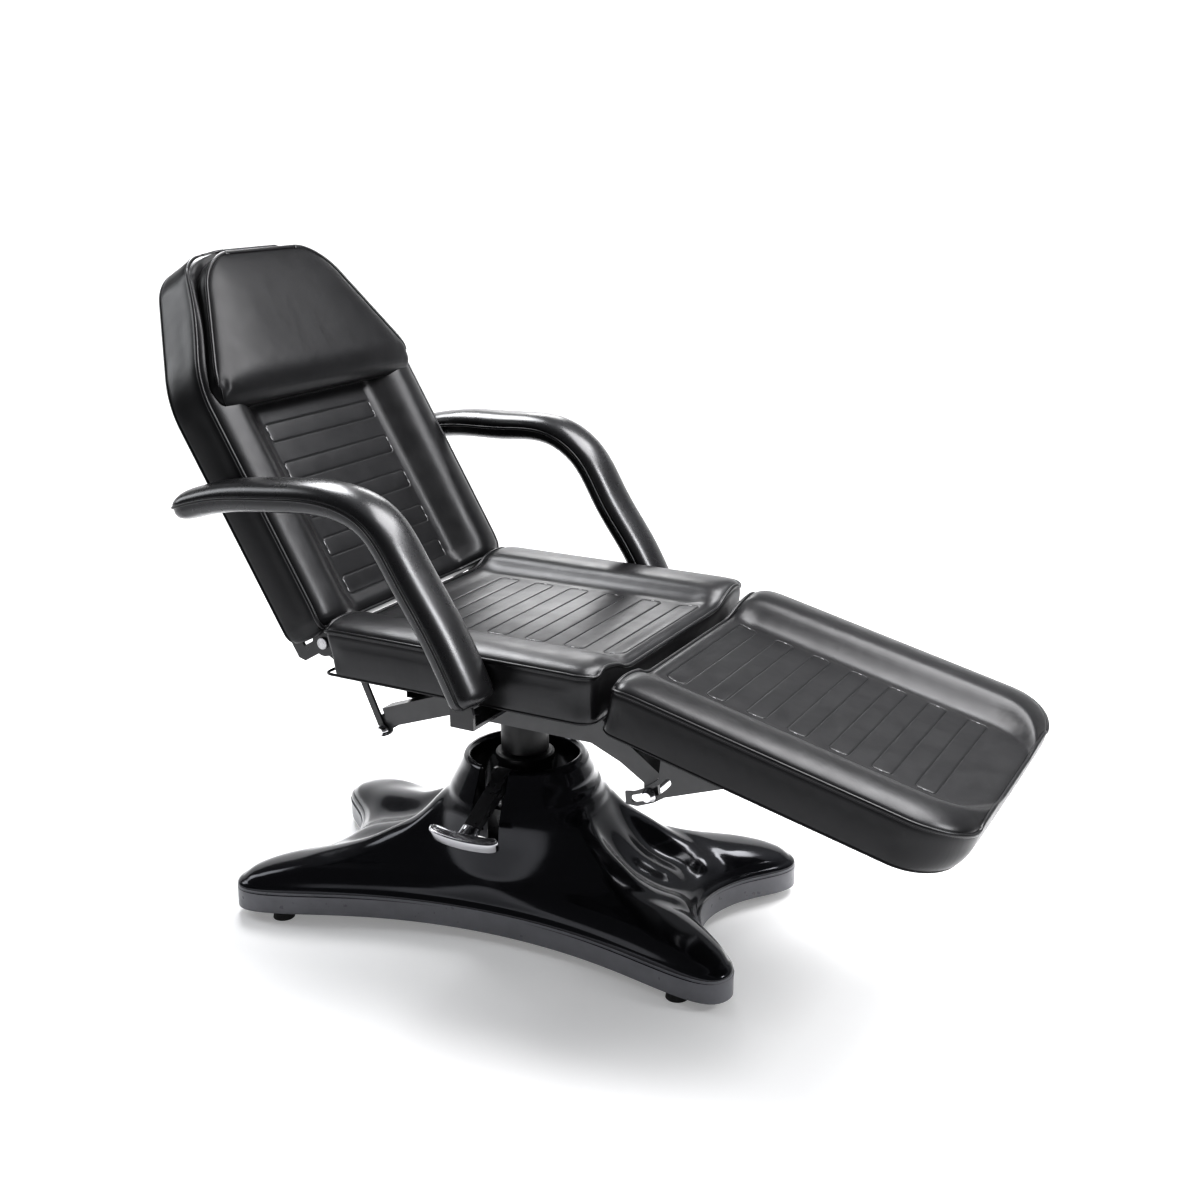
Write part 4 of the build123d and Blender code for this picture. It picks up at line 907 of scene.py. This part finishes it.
# puckers at the lower corners
pw = back_place(pv)
corner = np.exp(-((pv[:, 0] - 0.432) / 0.026) ** 2) * np.exp(-((np.abs(pv[:, 1]) - 0.266) / 0.024) ** 2)
pucker = value_noise(pv * np.array([1.0, 1.0, 0.4]), 210, 3) * 0.0042 * corner
carried = (np.zeros_like(pv) if carried is None else carried) + pucker[:, None] * (pw - pw.mean(0)) / (np.linalg.norm(pw - pw.mean(0), axis=1)[:, None] + 1e-9)
pil_obj, pil_world = finish_pad("head_pillow_upholstery", pv, pf, back_place, "backrest", ["head_pillow"], PILLOW_VINYL, carried)
side_run = pP[:, 0] > PIL_S0 + 0.034
start = int(np.where(side_run & ~np.roll(side_run, 1))[0][0])
order = np.roll(np.arange(len(pP)), -start)[: int(side_run.sum())]
open_edge = (pP + pN * 0.0016)[order]
open_edge[:, 2] = pP[order, 2] + 0.0008
open_edge = resample(back_place(open_edge), 0.004)
end_r = np.full(len(open_edge), 0.0034)
end_r[:4] = [0.0008, 0.0018, 0.0026, 0.0031]
end_r[-4:] = [0.0031, 0.0026, 0.0018, 0.0008]
trim("head_pillow_piping", [tube(open_edge, end_r, 10)], PIPING, "backrest")

# ---------------------------------------------------------------- armrests
NEAR_KNOTS = ([-0.4385, -0.3260, -0.2190, -0.1205, -0.0398, 0.0200, 0.0828, 0.1385], [0.7935, 0.8250, 0.8362, 0.8400, 0.8170, 0.7420, 0.6460, 0.5385])
FAR_KNOTS = ([-0.4500, -0.3292, -0.2150, -0.1160, -0.0414, 0.0085, 0.0665, 0.1185], [0.8100, 0.8340, 0.8377, 0.8362, 0.7930, 0.7160, 0.6310, 0.5365])


def spline2(xs, zs, count):
    """Natural cubic spline through the points, by chord length, evenly resampled."""
    d = np.r_[0, np.cumsum(np.hypot(np.diff(xs), np.diff(zs)))]

    def fit(v):
        n = len(v)
        h = np.diff(d)
        A = np.zeros((n, n))
        r = np.zeros(n)
        A[0, 0] = A[-1, -1] = 1
        for i in range(1, n - 1):
            A[i, i - 1], A[i, i], A[i, i + 1] = h[i - 1], 2 * (h[i - 1] + h[i]), h[i]
            r[i] = 6 * ((v[i + 1] - v[i]) / h[i] - (v[i] - v[i - 1]) / h[i - 1])
        m = np.linalg.solve(A, r)
        q = np.linspace(0, d[-1], 1200)
        k = np.clip(np.searchsorted(d, q) - 1, 0, n - 2)
        a, b = d[k + 1] - q, q - d[k]
        hk = h[k]
        return (m[k] * a**3 + m[k + 1] * b**3) / (6 * hk) + (v[k] / hk - m[k] * hk / 6) * a + (v[k + 1] / hk - m[k + 1] * hk / 6) * b

    X, Z = fit(xs), fit(zs)
    L = np.r_[0, np.cumsum(np.hypot(np.diff(X), np.diff(Z)))]
    q = np.linspace(0, L[-1], count)
    return np.interp(q, L, X), np.interp(q, L, Z), q




def armrest(side, body="seat"):
    """One curved pad: a rounded top, bevelled underside, closed round ends."""
    knots = FAR_KNOTS if side > 0 else NEAR_KNOTS
    AX, AZ, AL = spline2(np.array(knots[0]), np.array(knots[1]), 190)
    ARM_END = AL[-1]
    tx, tz = np.gradient(AX), np.gradient(AZ)
    ln = np.hypot(tx, tz)
    tx, tz = tx / ln, tz / ln
    nx, nz = -tz, tx                     # outside of the bend
    SID = 48
    th = np.linspace(0, 2 * math.pi, SID, endpoint=False)
    V, rings = [], len(AX)
    d0 = AL
    d1 = ARM_END - AL
    f = []
    for i in range(rings):
        # both ends close in a soft round
        e0 = math.sqrt(max(0.0, 1 - (1 - min(1, d0[i] / 0.040)) ** 2.4))
        e1 = math.sqrt(max(0.0, 1 - (1 - min(1, d1[i] / 0.022)) ** 2.6))
        wide = 0.046 * (0.35 + 0.65 * e0) * (0.55 + 0.45 * e1)
        taper = 1 - 0.22 * math.exp(-d0[i] / 0.07)
        up = 0.0262 * (0.10 + 0.90 * e0) * (0.45 + 0.55 * e1) * taper
        dn = 0.0275 * (0.55 + 0.45 * e0) * (0.45 + 0.55 * e1)
        if i in (0, rings - 1):
            wide, up, dn = wide * 0.4, up * 0.3, dn * 0.3
        c, s = np.cos(th), np.sin(th)
        py = np.sign(c) * np.abs(c) ** np.where(s > 0, 0.93, 0.78) * wide
        top = s > 0
        pn = np.where(top, np.abs(s) ** 0.92 * up, -np.abs(s) ** 0.62 * dn)
        # bevel of the underside
        py = np.where(top, py, np.sign(c) * np.minimum(np.abs(py), wide * (1 - 0.34 * (np.abs(s) ** 1.6))))
        # the seam in the middle of the side pinches in
        pinch = np.exp(-((s + 0.02) / 0.13) ** 2)
        py = py * (1 - 0.035 * pinch)
        x = AX[i] + nx[i] * pn
        z = AZ[i] + nz[i] * pn
        V.append(np.stack([x + SX, side * 0.348 + py, z], 1))
    V = np.concatenate(V)
    for i in range(rings - 1):
        for k in range(SID):
            l = (k + 1) % SID
            f.append((i * SID + k, (i + 1) * SID + k, (i + 1) * SID + l, i * SID + l))
    f.append(tuple(range(SID)))
    f.append(tuple(range(rings * SID - 1, (rings - 1) * SID - 1, -1)))
    arr = V.reshape(rings, SID, 3)
    # gathers on the inside of the bend
    under = np.clip(-np.sin(th), 0, 1)[None, :] ** 1.2
    bend = np.exp(-((AX + 0.052) / 0.075) ** 2)[:, None]
    wave = (np.sin(AL * 520) * 0.6 + np.sin(AL * 331 + 1.3) * 0.5)[:, None] * np.abs(np.cos(th))[None, :] ** 0.6
    arr[:, :, 0] += (nx[:, None] * wave * under * bend) * 0.0007
    arr[:, :, 2] += (nz[:, None] * wave * under * bend) * 0.0007
    soft = value_noise(arr.reshape(-1, 3), 34, 11 + int(side)).reshape(rings, SID)
    arr[:, :, 0] += nx[:, None] * soft * 0.0006
    arr[:, :, 2] += nz[:, None] * soft * 0.0006
    name = "armrest_pad_left" if side > 0 else "armrest_pad_right"
    ob = make_object(name, arr.reshape(-1, 3), f, ARM_VINYL)
    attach(ob, body)
    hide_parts("armrest_left" if side > 0 else "armrest_right")
    # piping along both sides, joined round the two ends
    k_out = 0
    k_in = SID // 2
    ring0 = [arr[i, k_out] for i in range(2, rings - 1)]
    ring1 = [arr[i, k_in] for i in range(rings - 2, 1, -1)]
    loop = np.array(ring0 + [arr[rings - 1].mean(0)] + ring1 + [arr[0].mean(0)])
    mid = np.array([AX.mean() + SX, side * 0.348, 0])
    out = loop.copy()
    out[:, 1] += np.sign(loop[:, 1] - side * 0.348) * 0.0012
    trim(name + "_piping", [tube(resample(out, 0.004, True), 0.0027, 8, closed=True)], PIPING, body)
    return ob


for sd in (-1, 1):
    armrest(sd)

# ---------------------------------------------------------------- base cover
TIPX, TIPY, TIPR = 0.428, 0.207, 0.055
TURN = math.radians(7.2)


def outline_r(a):
    c, s = abs(math.cos(a)), abs(math.sin(a))
    b = TIPX * c + TIPY * s
    disc = b * b - (TIPX**2 + TIPY**2 - TIPR**2)
    if disc >= 0:
        return b + math.sqrt(disc)
    q = 0.52 * c * c
    d1 = s * s - 4 * q * 0.170
    side = (s - math.sqrt(d1)) / (2 * q) if q > 1e-9 and d1 > 0 else (0.170 / s if s > 0.3 else 9e9)
    p = 3.3 * s * s
    d2 = c * c - 4 * p * 0.364
    end = (c - math.sqrt(d2)) / (2 * p) if p > 1e-9 and d2 > 0 else (0.364 / c if c > 0.3 else 9e9)
    return min(side, end)


COUNT = 420
angles = np.linspace(0, 2 * math.pi, COUNT, endpoint=False)
R0 = np.array([outline_r(a) for a in angles])
kern = np.exp(-(np.arange(-10, 11) / 3.2) ** 2)
kern /= kern.sum()
Rs = np.convolve(np.r_[R0[-10:], R0, R0[:10]], kern, "valid")
LEV_Z = [0.018, 0.040, 0.0600, 0.0635, 0.0665, 0.0690, 0.0710, 0.0770, 0.083, 0.088, 0.093, 0.098, 0.104, 0.110, 0.118, 0.132, 0.160, 0.187, 0.215, 0.245, 0.262, 0.288, 0.306]
LEV_R = [0.150, 0.150, 0.1500, 0.1495, 0.1480, 0.1462, 0.1447, 0.1440, 0.144, 0.144, 0.144, 0.144, 0.144, 0.144, 0.144, 0.145, 0.146, 0.147, 0.146, 0.140, 0.132, 0.119, 0.112]
LEV_G = [1.0, 0.999, 0.9975, 0.996, 0.993, 0.989, 0.984, 0.966, 0.942, 0.912, 0.876, 0.830, 0.760, 0.665, 0.545, 0.395, 0.237, 0.130, 0.060, 0.0, 0.0, 0.0, 0.0]
zs = []
for i in range(len(LEV_Z) - 1):
    n_sub = 6 if LEV_Z[i] > 0.10 else (3 if LEV_Z[i] > 0.055 else 2)
    zs += list(np.linspace(LEV_Z[i], LEV_Z[i + 1], n_sub, endpoint=False))
zs.append(LEV_Z[-1])
zs = np.array(zs)


def smooth_interp(x, xp, fp):
    """Monotone cubic through the points."""
    xp, fp = np.asarray(xp, float), np.asarray(fp, float)
    h = np.diff(xp)
    dlt = np.diff(fp) / h
    m = np.zeros(len(xp))
    m[0], m[-1] = dlt[0], dlt[-1]
    for i in range(1, len(xp) - 1):
        m[i] = 0 if dlt[i - 1] * dlt[i] <= 0 else 2 / (1 / dlt[i - 1] + 1 / dlt[i])
    k = np.clip(np.searchsorted(xp, x) - 1, 0, len(xp) - 2)
    t = (x - xp[k]) / h[k]
    return (2 * t**3 - 3 * t**2 + 1) * fp[k] + (t**3 - 2 * t**2 + t) * h[k] * m[k] + (-2 * t**3 + 3 * t**2) * fp[k + 1] + (t**3 - t**2) * h[k] * m[k + 1]


rn = smooth_interp(zs, LEV_Z, LEV_R)
gg = smooth_interp(zs, LEV_Z, LEV_G)
Vb = []
for z, r_n, g in zip(zs, rn, gg):
    r = r_n + (Rs - 0.150) * g
    x = r * np.cos(angles) + 0.015 * (1 - g) * math.cos(TURN)
    y = r * np.sin(angles) - 0.015 * (1 - g) * math.sin(TURN)
    Vb.append(np.stack([x, y, np.full(COUNT, z)], 1))
Vb = np.array(Vb)                                # level, angle, xyz in the base's own frame


# folds on the head-end face and the embossed U on the foot-end face
def face_relief(x, y, z):
    d = np.zeros_like(x)
    # nested U-shaped swellings that open towards the column, between the two foot-end legs
    u = np.maximum(x - 0.285, 0) * 0.85
    dist = np.hypot(u, y)
    fade = smoothstep(x, 0.165, 0.235) * (1 - smoothstep(dist, 0.100, 0.150))
    d += 0.0044 * np.cos(dist * 2 * math.pi / 0.090) * fade
    # soft folds that run out along the head-end legs
    ang = np.arctan2(y, -(x + 0.02))
    r = np.hypot(x + 0.02, y)
    wave = np.cos(ang * 15.0 + 3.0 * r) * smoothstep(r, 0.17, 0.23) * (1 - smoothstep(r, 0.34, 0.42)) * (1 - smoothstep(np.abs(ang), 0.50, 0.75))
    d += np.where(x < 0, 0.0040 * wave, 0)
    return d


nrm = np.zeros_like(Vb)
da = np.roll(Vb, -1, 1) - np.roll(Vb, 1, 1)
dz = np.gradient(Vb, axis=0)
nrm = np.cross(da, dz)
nrm /= np.linalg.norm(nrm, axis=2)[:, :, None] + 1e-12
rel = face_relief(Vb[:, :, 0], Vb[:, :, 1], Vb[:, :, 2])
zone = smoothstep(Vb[:, :, 2], 0.082, 0.100) * (1 - smoothstep(Vb[:, :, 2], 0.20, 0.24))
Vb = Vb + nrm * (rel * zone)[:, :, None]
# two stepped bands round the neck, on the foot-end side
neck_a = np.arctan2(Vb[:, :, 1], Vb[:, :, 0])
for z0, z1, amp in ((0.226, 0.256, -0.0026), (0.271, 0.301, -0.0026)):
    band = smoothstep(Vb[:, :, 2], z0 - 0.0015, z0 + 0.0015) * (1 - smoothstep(Vb[:, :, 2], z1 - 0.0015, z1 + 0.0015))
    part = smoothstep(np.cos(neck_a - 0.38), 0.655, 0.70)
    Vb = Vb - nrm * (band * part * amp)[:, :, None]
ca, sa = math.cos(TURN), math.sin(TURN)
Xw = Vb[:, :, 0] * ca - Vb[:, :, 1] * sa + SX
Yw = Vb[:, :, 0] * sa + Vb[:, :, 1] * ca
Vw = np.stack([Xw, Yw, Vb[:, :, 2]], 2)
L = len(zs)
# close the neck with a rolled rim and an inner wall, and the foot with a thin edge
cx, cy = 0.015 + SX, 0.0
extra = []
top_ring = Vw[-1]
dirv = top_ring - np.array([cx, cy, 0])
dirv[:, 2] = 0
rad = np.linalg.norm(dirv, axis=1)[:, None]
dirv /= rad
for dr, dzv in ((-0.004, 0.0035), (-0.009, 0.004), (-0.013, 0.001), (-0.015, -0.006), (-0.015, -0.03), (-0.012, -0.075), (-0.004, -0.12)):
    q = top_ring + dirv * dr
    q[:, 2] = 0.306 + dzv
    extra.append(q)
bottom_in = []
inner = Vw[0].copy()
ci = inner - np.array([SX, 0, 0])
ci[:, 2] = 0
inner -= ci / np.linalg.norm(ci, axis=1)[:, None] * 0.004
inner2 = inner.copy()
inner2[:, 2] = 0.055
rings = [inner2, inner] + [Vw[i] for i in range(L)] + extra
allv = np.concatenate(rings)
faces = []
for i in range(len(rings) - 1):
    for k in range(COUNT):
        l = (k + 1) % COUNT
        faces.append((i * COUNT + k, i * COUNT + l, (i + 1) * COUNT + l, (i + 1) * COUNT + k))
cover = make_object("base_cover_shell", allv, faces, GLOSS)
# cut the pedal slot
cutter_v = []
sx0, sx1 = 0.015 - 0.030 + SX, 0.015 + 0.030 + SX
slot_pts = [(sx0, 0.330), (sx0, 0.196)]
for a in np.linspace(180, 360, 15):
    slot_pts.append(((sx0 + sx1) / 2 + 0.030 * math.cos(math.radians(a)), 0.196 + 0.024 * math.sin(math.radians(a))))
slot_pts += [(sx1, 0.330)]
cv = [(x, -0.060, z) for x, z in slot_pts] + [(x, -0.190, z) for x, z in slot_pts]
nS = len(slot_pts)
cf = [tuple(range(nS)), tuple(range(2 * nS - 1, nS - 1, -1))] + [(i, i + nS, (i + 1) % nS + nS, (i + 1) % nS) for i in range(nS)]
cutter = make_object("slot_cutter", np.array(cv), cf, GLOSS, smooth=False)
for shape in (cutter, cover):
    bm = bmesh.new()
    bm.from_mesh(shape.data)
    bmesh.ops.recalc_face_normals(bm, faces=bm.faces)
    bm.to_mesh(shape.data)
    bm.free()
solid = cover.modifiers.new("wall", "SOLIDIFY")
solid.thickness = 0.0035
solid.offset = -1
boolean = cover.modifiers.new("slot", "BOOLEAN")
boolean.operation = "DIFFERENCE"
boolean.object = cutter
boolean.solver = "EXACT"
bpy.context.view_layer.objects.active = cover
bpy.context.view_layer.update()
dg = bpy.context.evaluated_depsgraph_get()
baked = bpy.data.meshes.new_from_object(cover.evaluated_get(dg))
cover.modifiers.clear()
cover.data = baked
bpy.data.objects.remove(cutter, do_unlink=True)
cover.data.polygons.foreach_set("use_smooth", [True] * len(cover.data.polygons))
cover.data.set_sharp_from_angle(angle=math.radians(38))
# second slot: the lighter skirt colour, a painted floor reflection, on the upright band low on the cover
cover.data.materials.append(SKIRT_FLOOR_REFLECTION)
count = len(cover.data.polygons)
centre, normal = np.zeros(count * 3), np.zeros(count * 3)
cover.data.polygons.foreach_get("center", centre)
cover.data.polygons.foreach_get("normal", normal)
centre, normal = centre.reshape(-1, 3), normal.reshape(-1, 3)
band = (centre[:, 2] < 0.0600) & (np.abs(normal[:, 2]) < 0.3)
cover.data.polygons.foreach_set("material_index", band.astype(int))
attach(cover, "base")
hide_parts("base_cover")

# ---------------------------------------------------------------- return spring of the pump
PLUNGER_Y = -0.0860
turns = np.linspace(0, 2 * math.pi * 5.2, 220)
coil = np.column_stack([0.015 + SX + 0.0094 * np.cos(turns), PLUNGER_Y + 0.0094 * np.sin(turns), np.linspace(0.2331, 0.2571, 220)])
spring = trim("pump_return_spring", [tube(coil, 0.0009, 8)], ZINC, "base")
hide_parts("pump_spring")
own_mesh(spring)

# ---------------------------------------------------------------- pedal
def pedal_point(q):
    """Local frame of the pedal plate: x across, y towards the column, z square to the plate."""
    a = math.radians(-12)
    q = np.asarray(q, float)
    yd, zd = np.array([0, math.cos(a), -math.sin(a)]), np.array([0, math.sin(a), math.cos(a)])
    return np.array([0.015 + SX, -0.210, 0.215]) + q[:, :1] * np.array([1.0, 0, 0]) + q[:, 1:2] * yd + q[:, 2:3] * zd


half = []
for x in np.linspace(-1, 1, 61):
    x = math.sin(x * math.pi / 2)
    half.append((0.070 * x, 0.0112 * (1 - abs(x) ** 11.0) ** 0.5))
bend = lambda x: -0.0080 + 0.0095 * (x / 0.070) ** 2
plan = np.array([(x, bend(x) - h) for x, h in half] + [(x, bend(x) + h) for x, h in half[::-1][1:-1]])


def inset_plan(loop, d):
    tan = np.roll(loop, -1, 0) - np.roll(loop, 1, 0)
    tan /= np.linalg.norm(tan, axis=1)[:, None] + 1e-12
    inward = np.stack([-tan[:, 1], tan[:, 0]], 1)
    return loop + inward * d


rings = []
for d, z in ((0.0032, -0.0042), (0.0010, -0.0036), (0.0, -0.0020), (0.0, 0.0128), (0.0007, 0.0144), (0.0018, 0.0152), (0.0030, 0.0150), (0.0040, 0.0141), (0.0060, 0.0138)):
    loop = inset_plan(plan, d)
    rings.append(pedal_point(np.column_stack([loop, np.full(len(loop), z)])))
N_RING = len(plan)
pedal_v = np.concatenate(rings)
pedal_f = []
for i in range(len(rings) - 1):
    for k in range(N_RING):
        l = (k + 1) % N_RING
        pedal_f.append((i * N_RING + k, i * N_RING + l, (i + 1) * N_RING + l, (i + 1) * N_RING + k))
# floor of the tray and the underside, as strips across
for i, flip in ((0, True), (len(rings) - 1, False)):
    o = i * N_RING
    m = N_RING // 2
    for k in range(m):
        a, b = o + k, o + k + 1
        c, d = o + (N_RING - k - 1) % N_RING, o + (N_RING - k) % N_RING
        q = (a, b, c, d) if k else (a, b, c)
        if k == m - 1:
            q = (a, b, d)
        pedal_f.append(q[::-1] if flip else q)
rib_parts = [(pedal_v, pedal_f)]
# collar that takes the end of the lever
p0, p1 = np.array([0.015 + SX, -0.0700, 0.2880]), np.array([0.015 + SX, -0.2100, 0.2150])
dirn = (p1 - p0) / np.linalg.norm(p1 - p0)
reach = np.linalg.norm(p1 - p0)
wide, high = [], []
sect = []
side_v, up_v = np.array([1.0, 0, 0]), np.cross(dirn, np.array([1.0, 0, 0]))
up_v = up_v if up_v[2] > 0 else -up_v
for k, (dist, hw, hh) in enumerate(((reach - 0.0300, 0.0142, 0.0070), (reach - 0.0292, 0.0162, 0.0092), (reach - 0.0270, 0.0172, 0.0103), (reach - 0.0080, 0.0172, 0.0110), (reach + 0.0030, 0.0170, 0.0120), (reach + 0.0100, 0.0150, 0.0100), (reach + 0.0120, 0.0100, 0.0060))):
    a = np.linspace(0, 2 * math.pi, 28, endpoint=False)
    c, s = np.cos(a), np.sin(a)
    sect.append(p0 + dirn * dist + np.outer(np.sign(c) * np.abs(c) ** 0.7 * hw, side_v) + np.outer(np.sign(s) * np.abs(s) ** 0.7 * hh, up_v))
collar_v = np.concatenate(sect)
collar_f = [(i * 28 + k, i * 28 + (k + 1) % 28, (i + 1) * 28 + (k + 1) % 28, (i + 1) * 28 + k) for i in range(len(sect) - 1) for k in range(28)]
collar_f += [tuple(range(27, -1, -1)), tuple(range((len(sect) - 1) * 28, len(sect) * 28))]
rib_parts.append((collar_v, collar_f))
v, f = join_arrays(rib_parts)
pedal_obj = make_object("pedal_tread", v, f, PEDAL_CHROME)
pedal_obj.data.set_sharp_from_angle(angle=math.radians(50))
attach(pedal_obj, "pedal")
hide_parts("pedal_pad")

# ---------------------------------------------------------------- stage
def stage_floor():
    m, nt, b = new_material("studio_floor")
    vec = tex_coord(nt)
    nt.links.new(ramp(nt, noise(nt, vec, 3.0, 2.0), [(0.3, (0.86, 0.86, 0.865, 1)), (0.7, (0.88, 0.88, 0.885, 1))]), b.inputs["Base Color"])
    b.inputs["Roughness"].default_value = 0.75
    b.inputs["Emission Color"].default_value = (1.0, 1.0, 1.0, 1)
    b.inputs["Emission Strength"].default_value = 0.22
    # floor that curves up into a backdrop behind the object
    prof = [(-7.0, 0.0), (2.6, 0.0)]
    for a in np.linspace(-90, 0, 14):
        prof.append((2.9 + 0.9 * math.cos(math.radians(a)), 0.9 + 0.9 * math.sin(math.radians(a))))
    prof.append((3.8, 2.15))
    az = math.radians(28.256)
    dirx = np.array([math.cos(az), math.sin(az)])
    diry = np.array([-math.sin(az), math.cos(az)])
    v, f = [], []
    for yb, z in prof:
        for xx in (-9.0, 9.0):
            p = dirx * xx + diry * yb
            v.append((p[0], p[1], z))
    for i in range(len(prof) - 1):
        f.append((2 * i, 2 * i + 1, 2 * i + 3, 2 * i + 2))
    ob = make_object("studio_floor", np.array(v), f, m)


stage_floor()

# ---------------------------------------------------------------- camera and light
cam_data = bpy.data.cameras.new("camera")
cam_data.sensor_width = 36.0
cam_data.lens = 45.18
cam = bpy.data.objects.new("camera", cam_data)
cam.location = (1.353 + SX, -2.1987, 1.3854)
cam.rotation_euler = (math.radians(90 - 17.04), 0, math.radians(28.256))
bpy.context.scene.collection.objects.link(cam)
bpy.context.scene.camera = cam


def area(name, loc, target, size, power, color=(1, 1, 1), size_y=None):
    d = bpy.data.lights.new(name, "AREA")
    d.shape = "RECTANGLE"
    d.size = size
    d.size_y = size_y or size
    d.energy = power
    d.color = color
    o = bpy.data.objects.new(name, d)
    o.location = loc
    o.rotation_euler = (Vector(target) - Vector(loc)).to_track_quat("-Z", "Y").to_euler()
    bpy.context.scene.collection.objects.link(o)
    return o


area("softbox_top", (0.9, 0.82, 2.8), (0.1, 0.0, 0.4), 1.9, 93, (1.0, 0.99, 0.985), 1.5)
area("softbox_rear_left", (-1.5, 0.95, 2.4), (-0.2, -0.2, 0.7), 0.7, 38, (0.985, 0.99, 1.0), 1.2)
area("softbox_left", (-2.5, -0.6, 2.0), (-0.1, 0.0, 0.6), 0.9, 20, (0.97, 0.985, 1.0), 1.8)
area("softbox_right", (2.5, 0.30, 2.2), (-0.2, 0.0, 0.6), 0.55, 50, (1.0, 1.0, 1.0), 1.2)
area("softbox_far_right", (0.85, 1.25, 2.15), (0.15, 0.0, 0.15), 0.9, 3.5, (0.97, 0.98, 1.0), 0.5)
area("softbox_far_left", (-1.55, 2.75, 2.05), (0.0, 0.0, 0.6), 0.8, 10, (1.0, 1.0, 1.0), 0.5)
area("backdrop_light", (-1.3, 2.0, 2.7), (-2.2, 4.3, 0.9), 4.5, 34, (1.0, 1.0, 1.0), 0.6)

world = bpy.data.worlds.new("studio")
bpy.context.scene.world = world
world.use_nodes = True
wt = world.node_tree
sky = wt.nodes["Background"]
sky.inputs[0].default_value = (0.95, 0.965, 1.0, 1)
# brighter towards a high bounce card behind the chair, dim near the horizon
direction = wt.nodes.new("ShaderNodeTexCoord")
lobe = wt.nodes.new("ShaderNodeVectorMath")
lobe.operation = "DOT_PRODUCT"
lobe.inputs[1].default_value = (0.30, 0.36, 0.883)
wt.links.new(direction.outputs["Generated"], lobe.inputs[0])
wt.links.new(span(wt, lobe.outputs["Value"], 0.64, 0.94, 0.11, 0.62), sky.inputs[1])
bpy.context.scene.view_settings.view_transform = "Standard"
bpy.context.scene.view_settings.look = "Medium High Contrast"
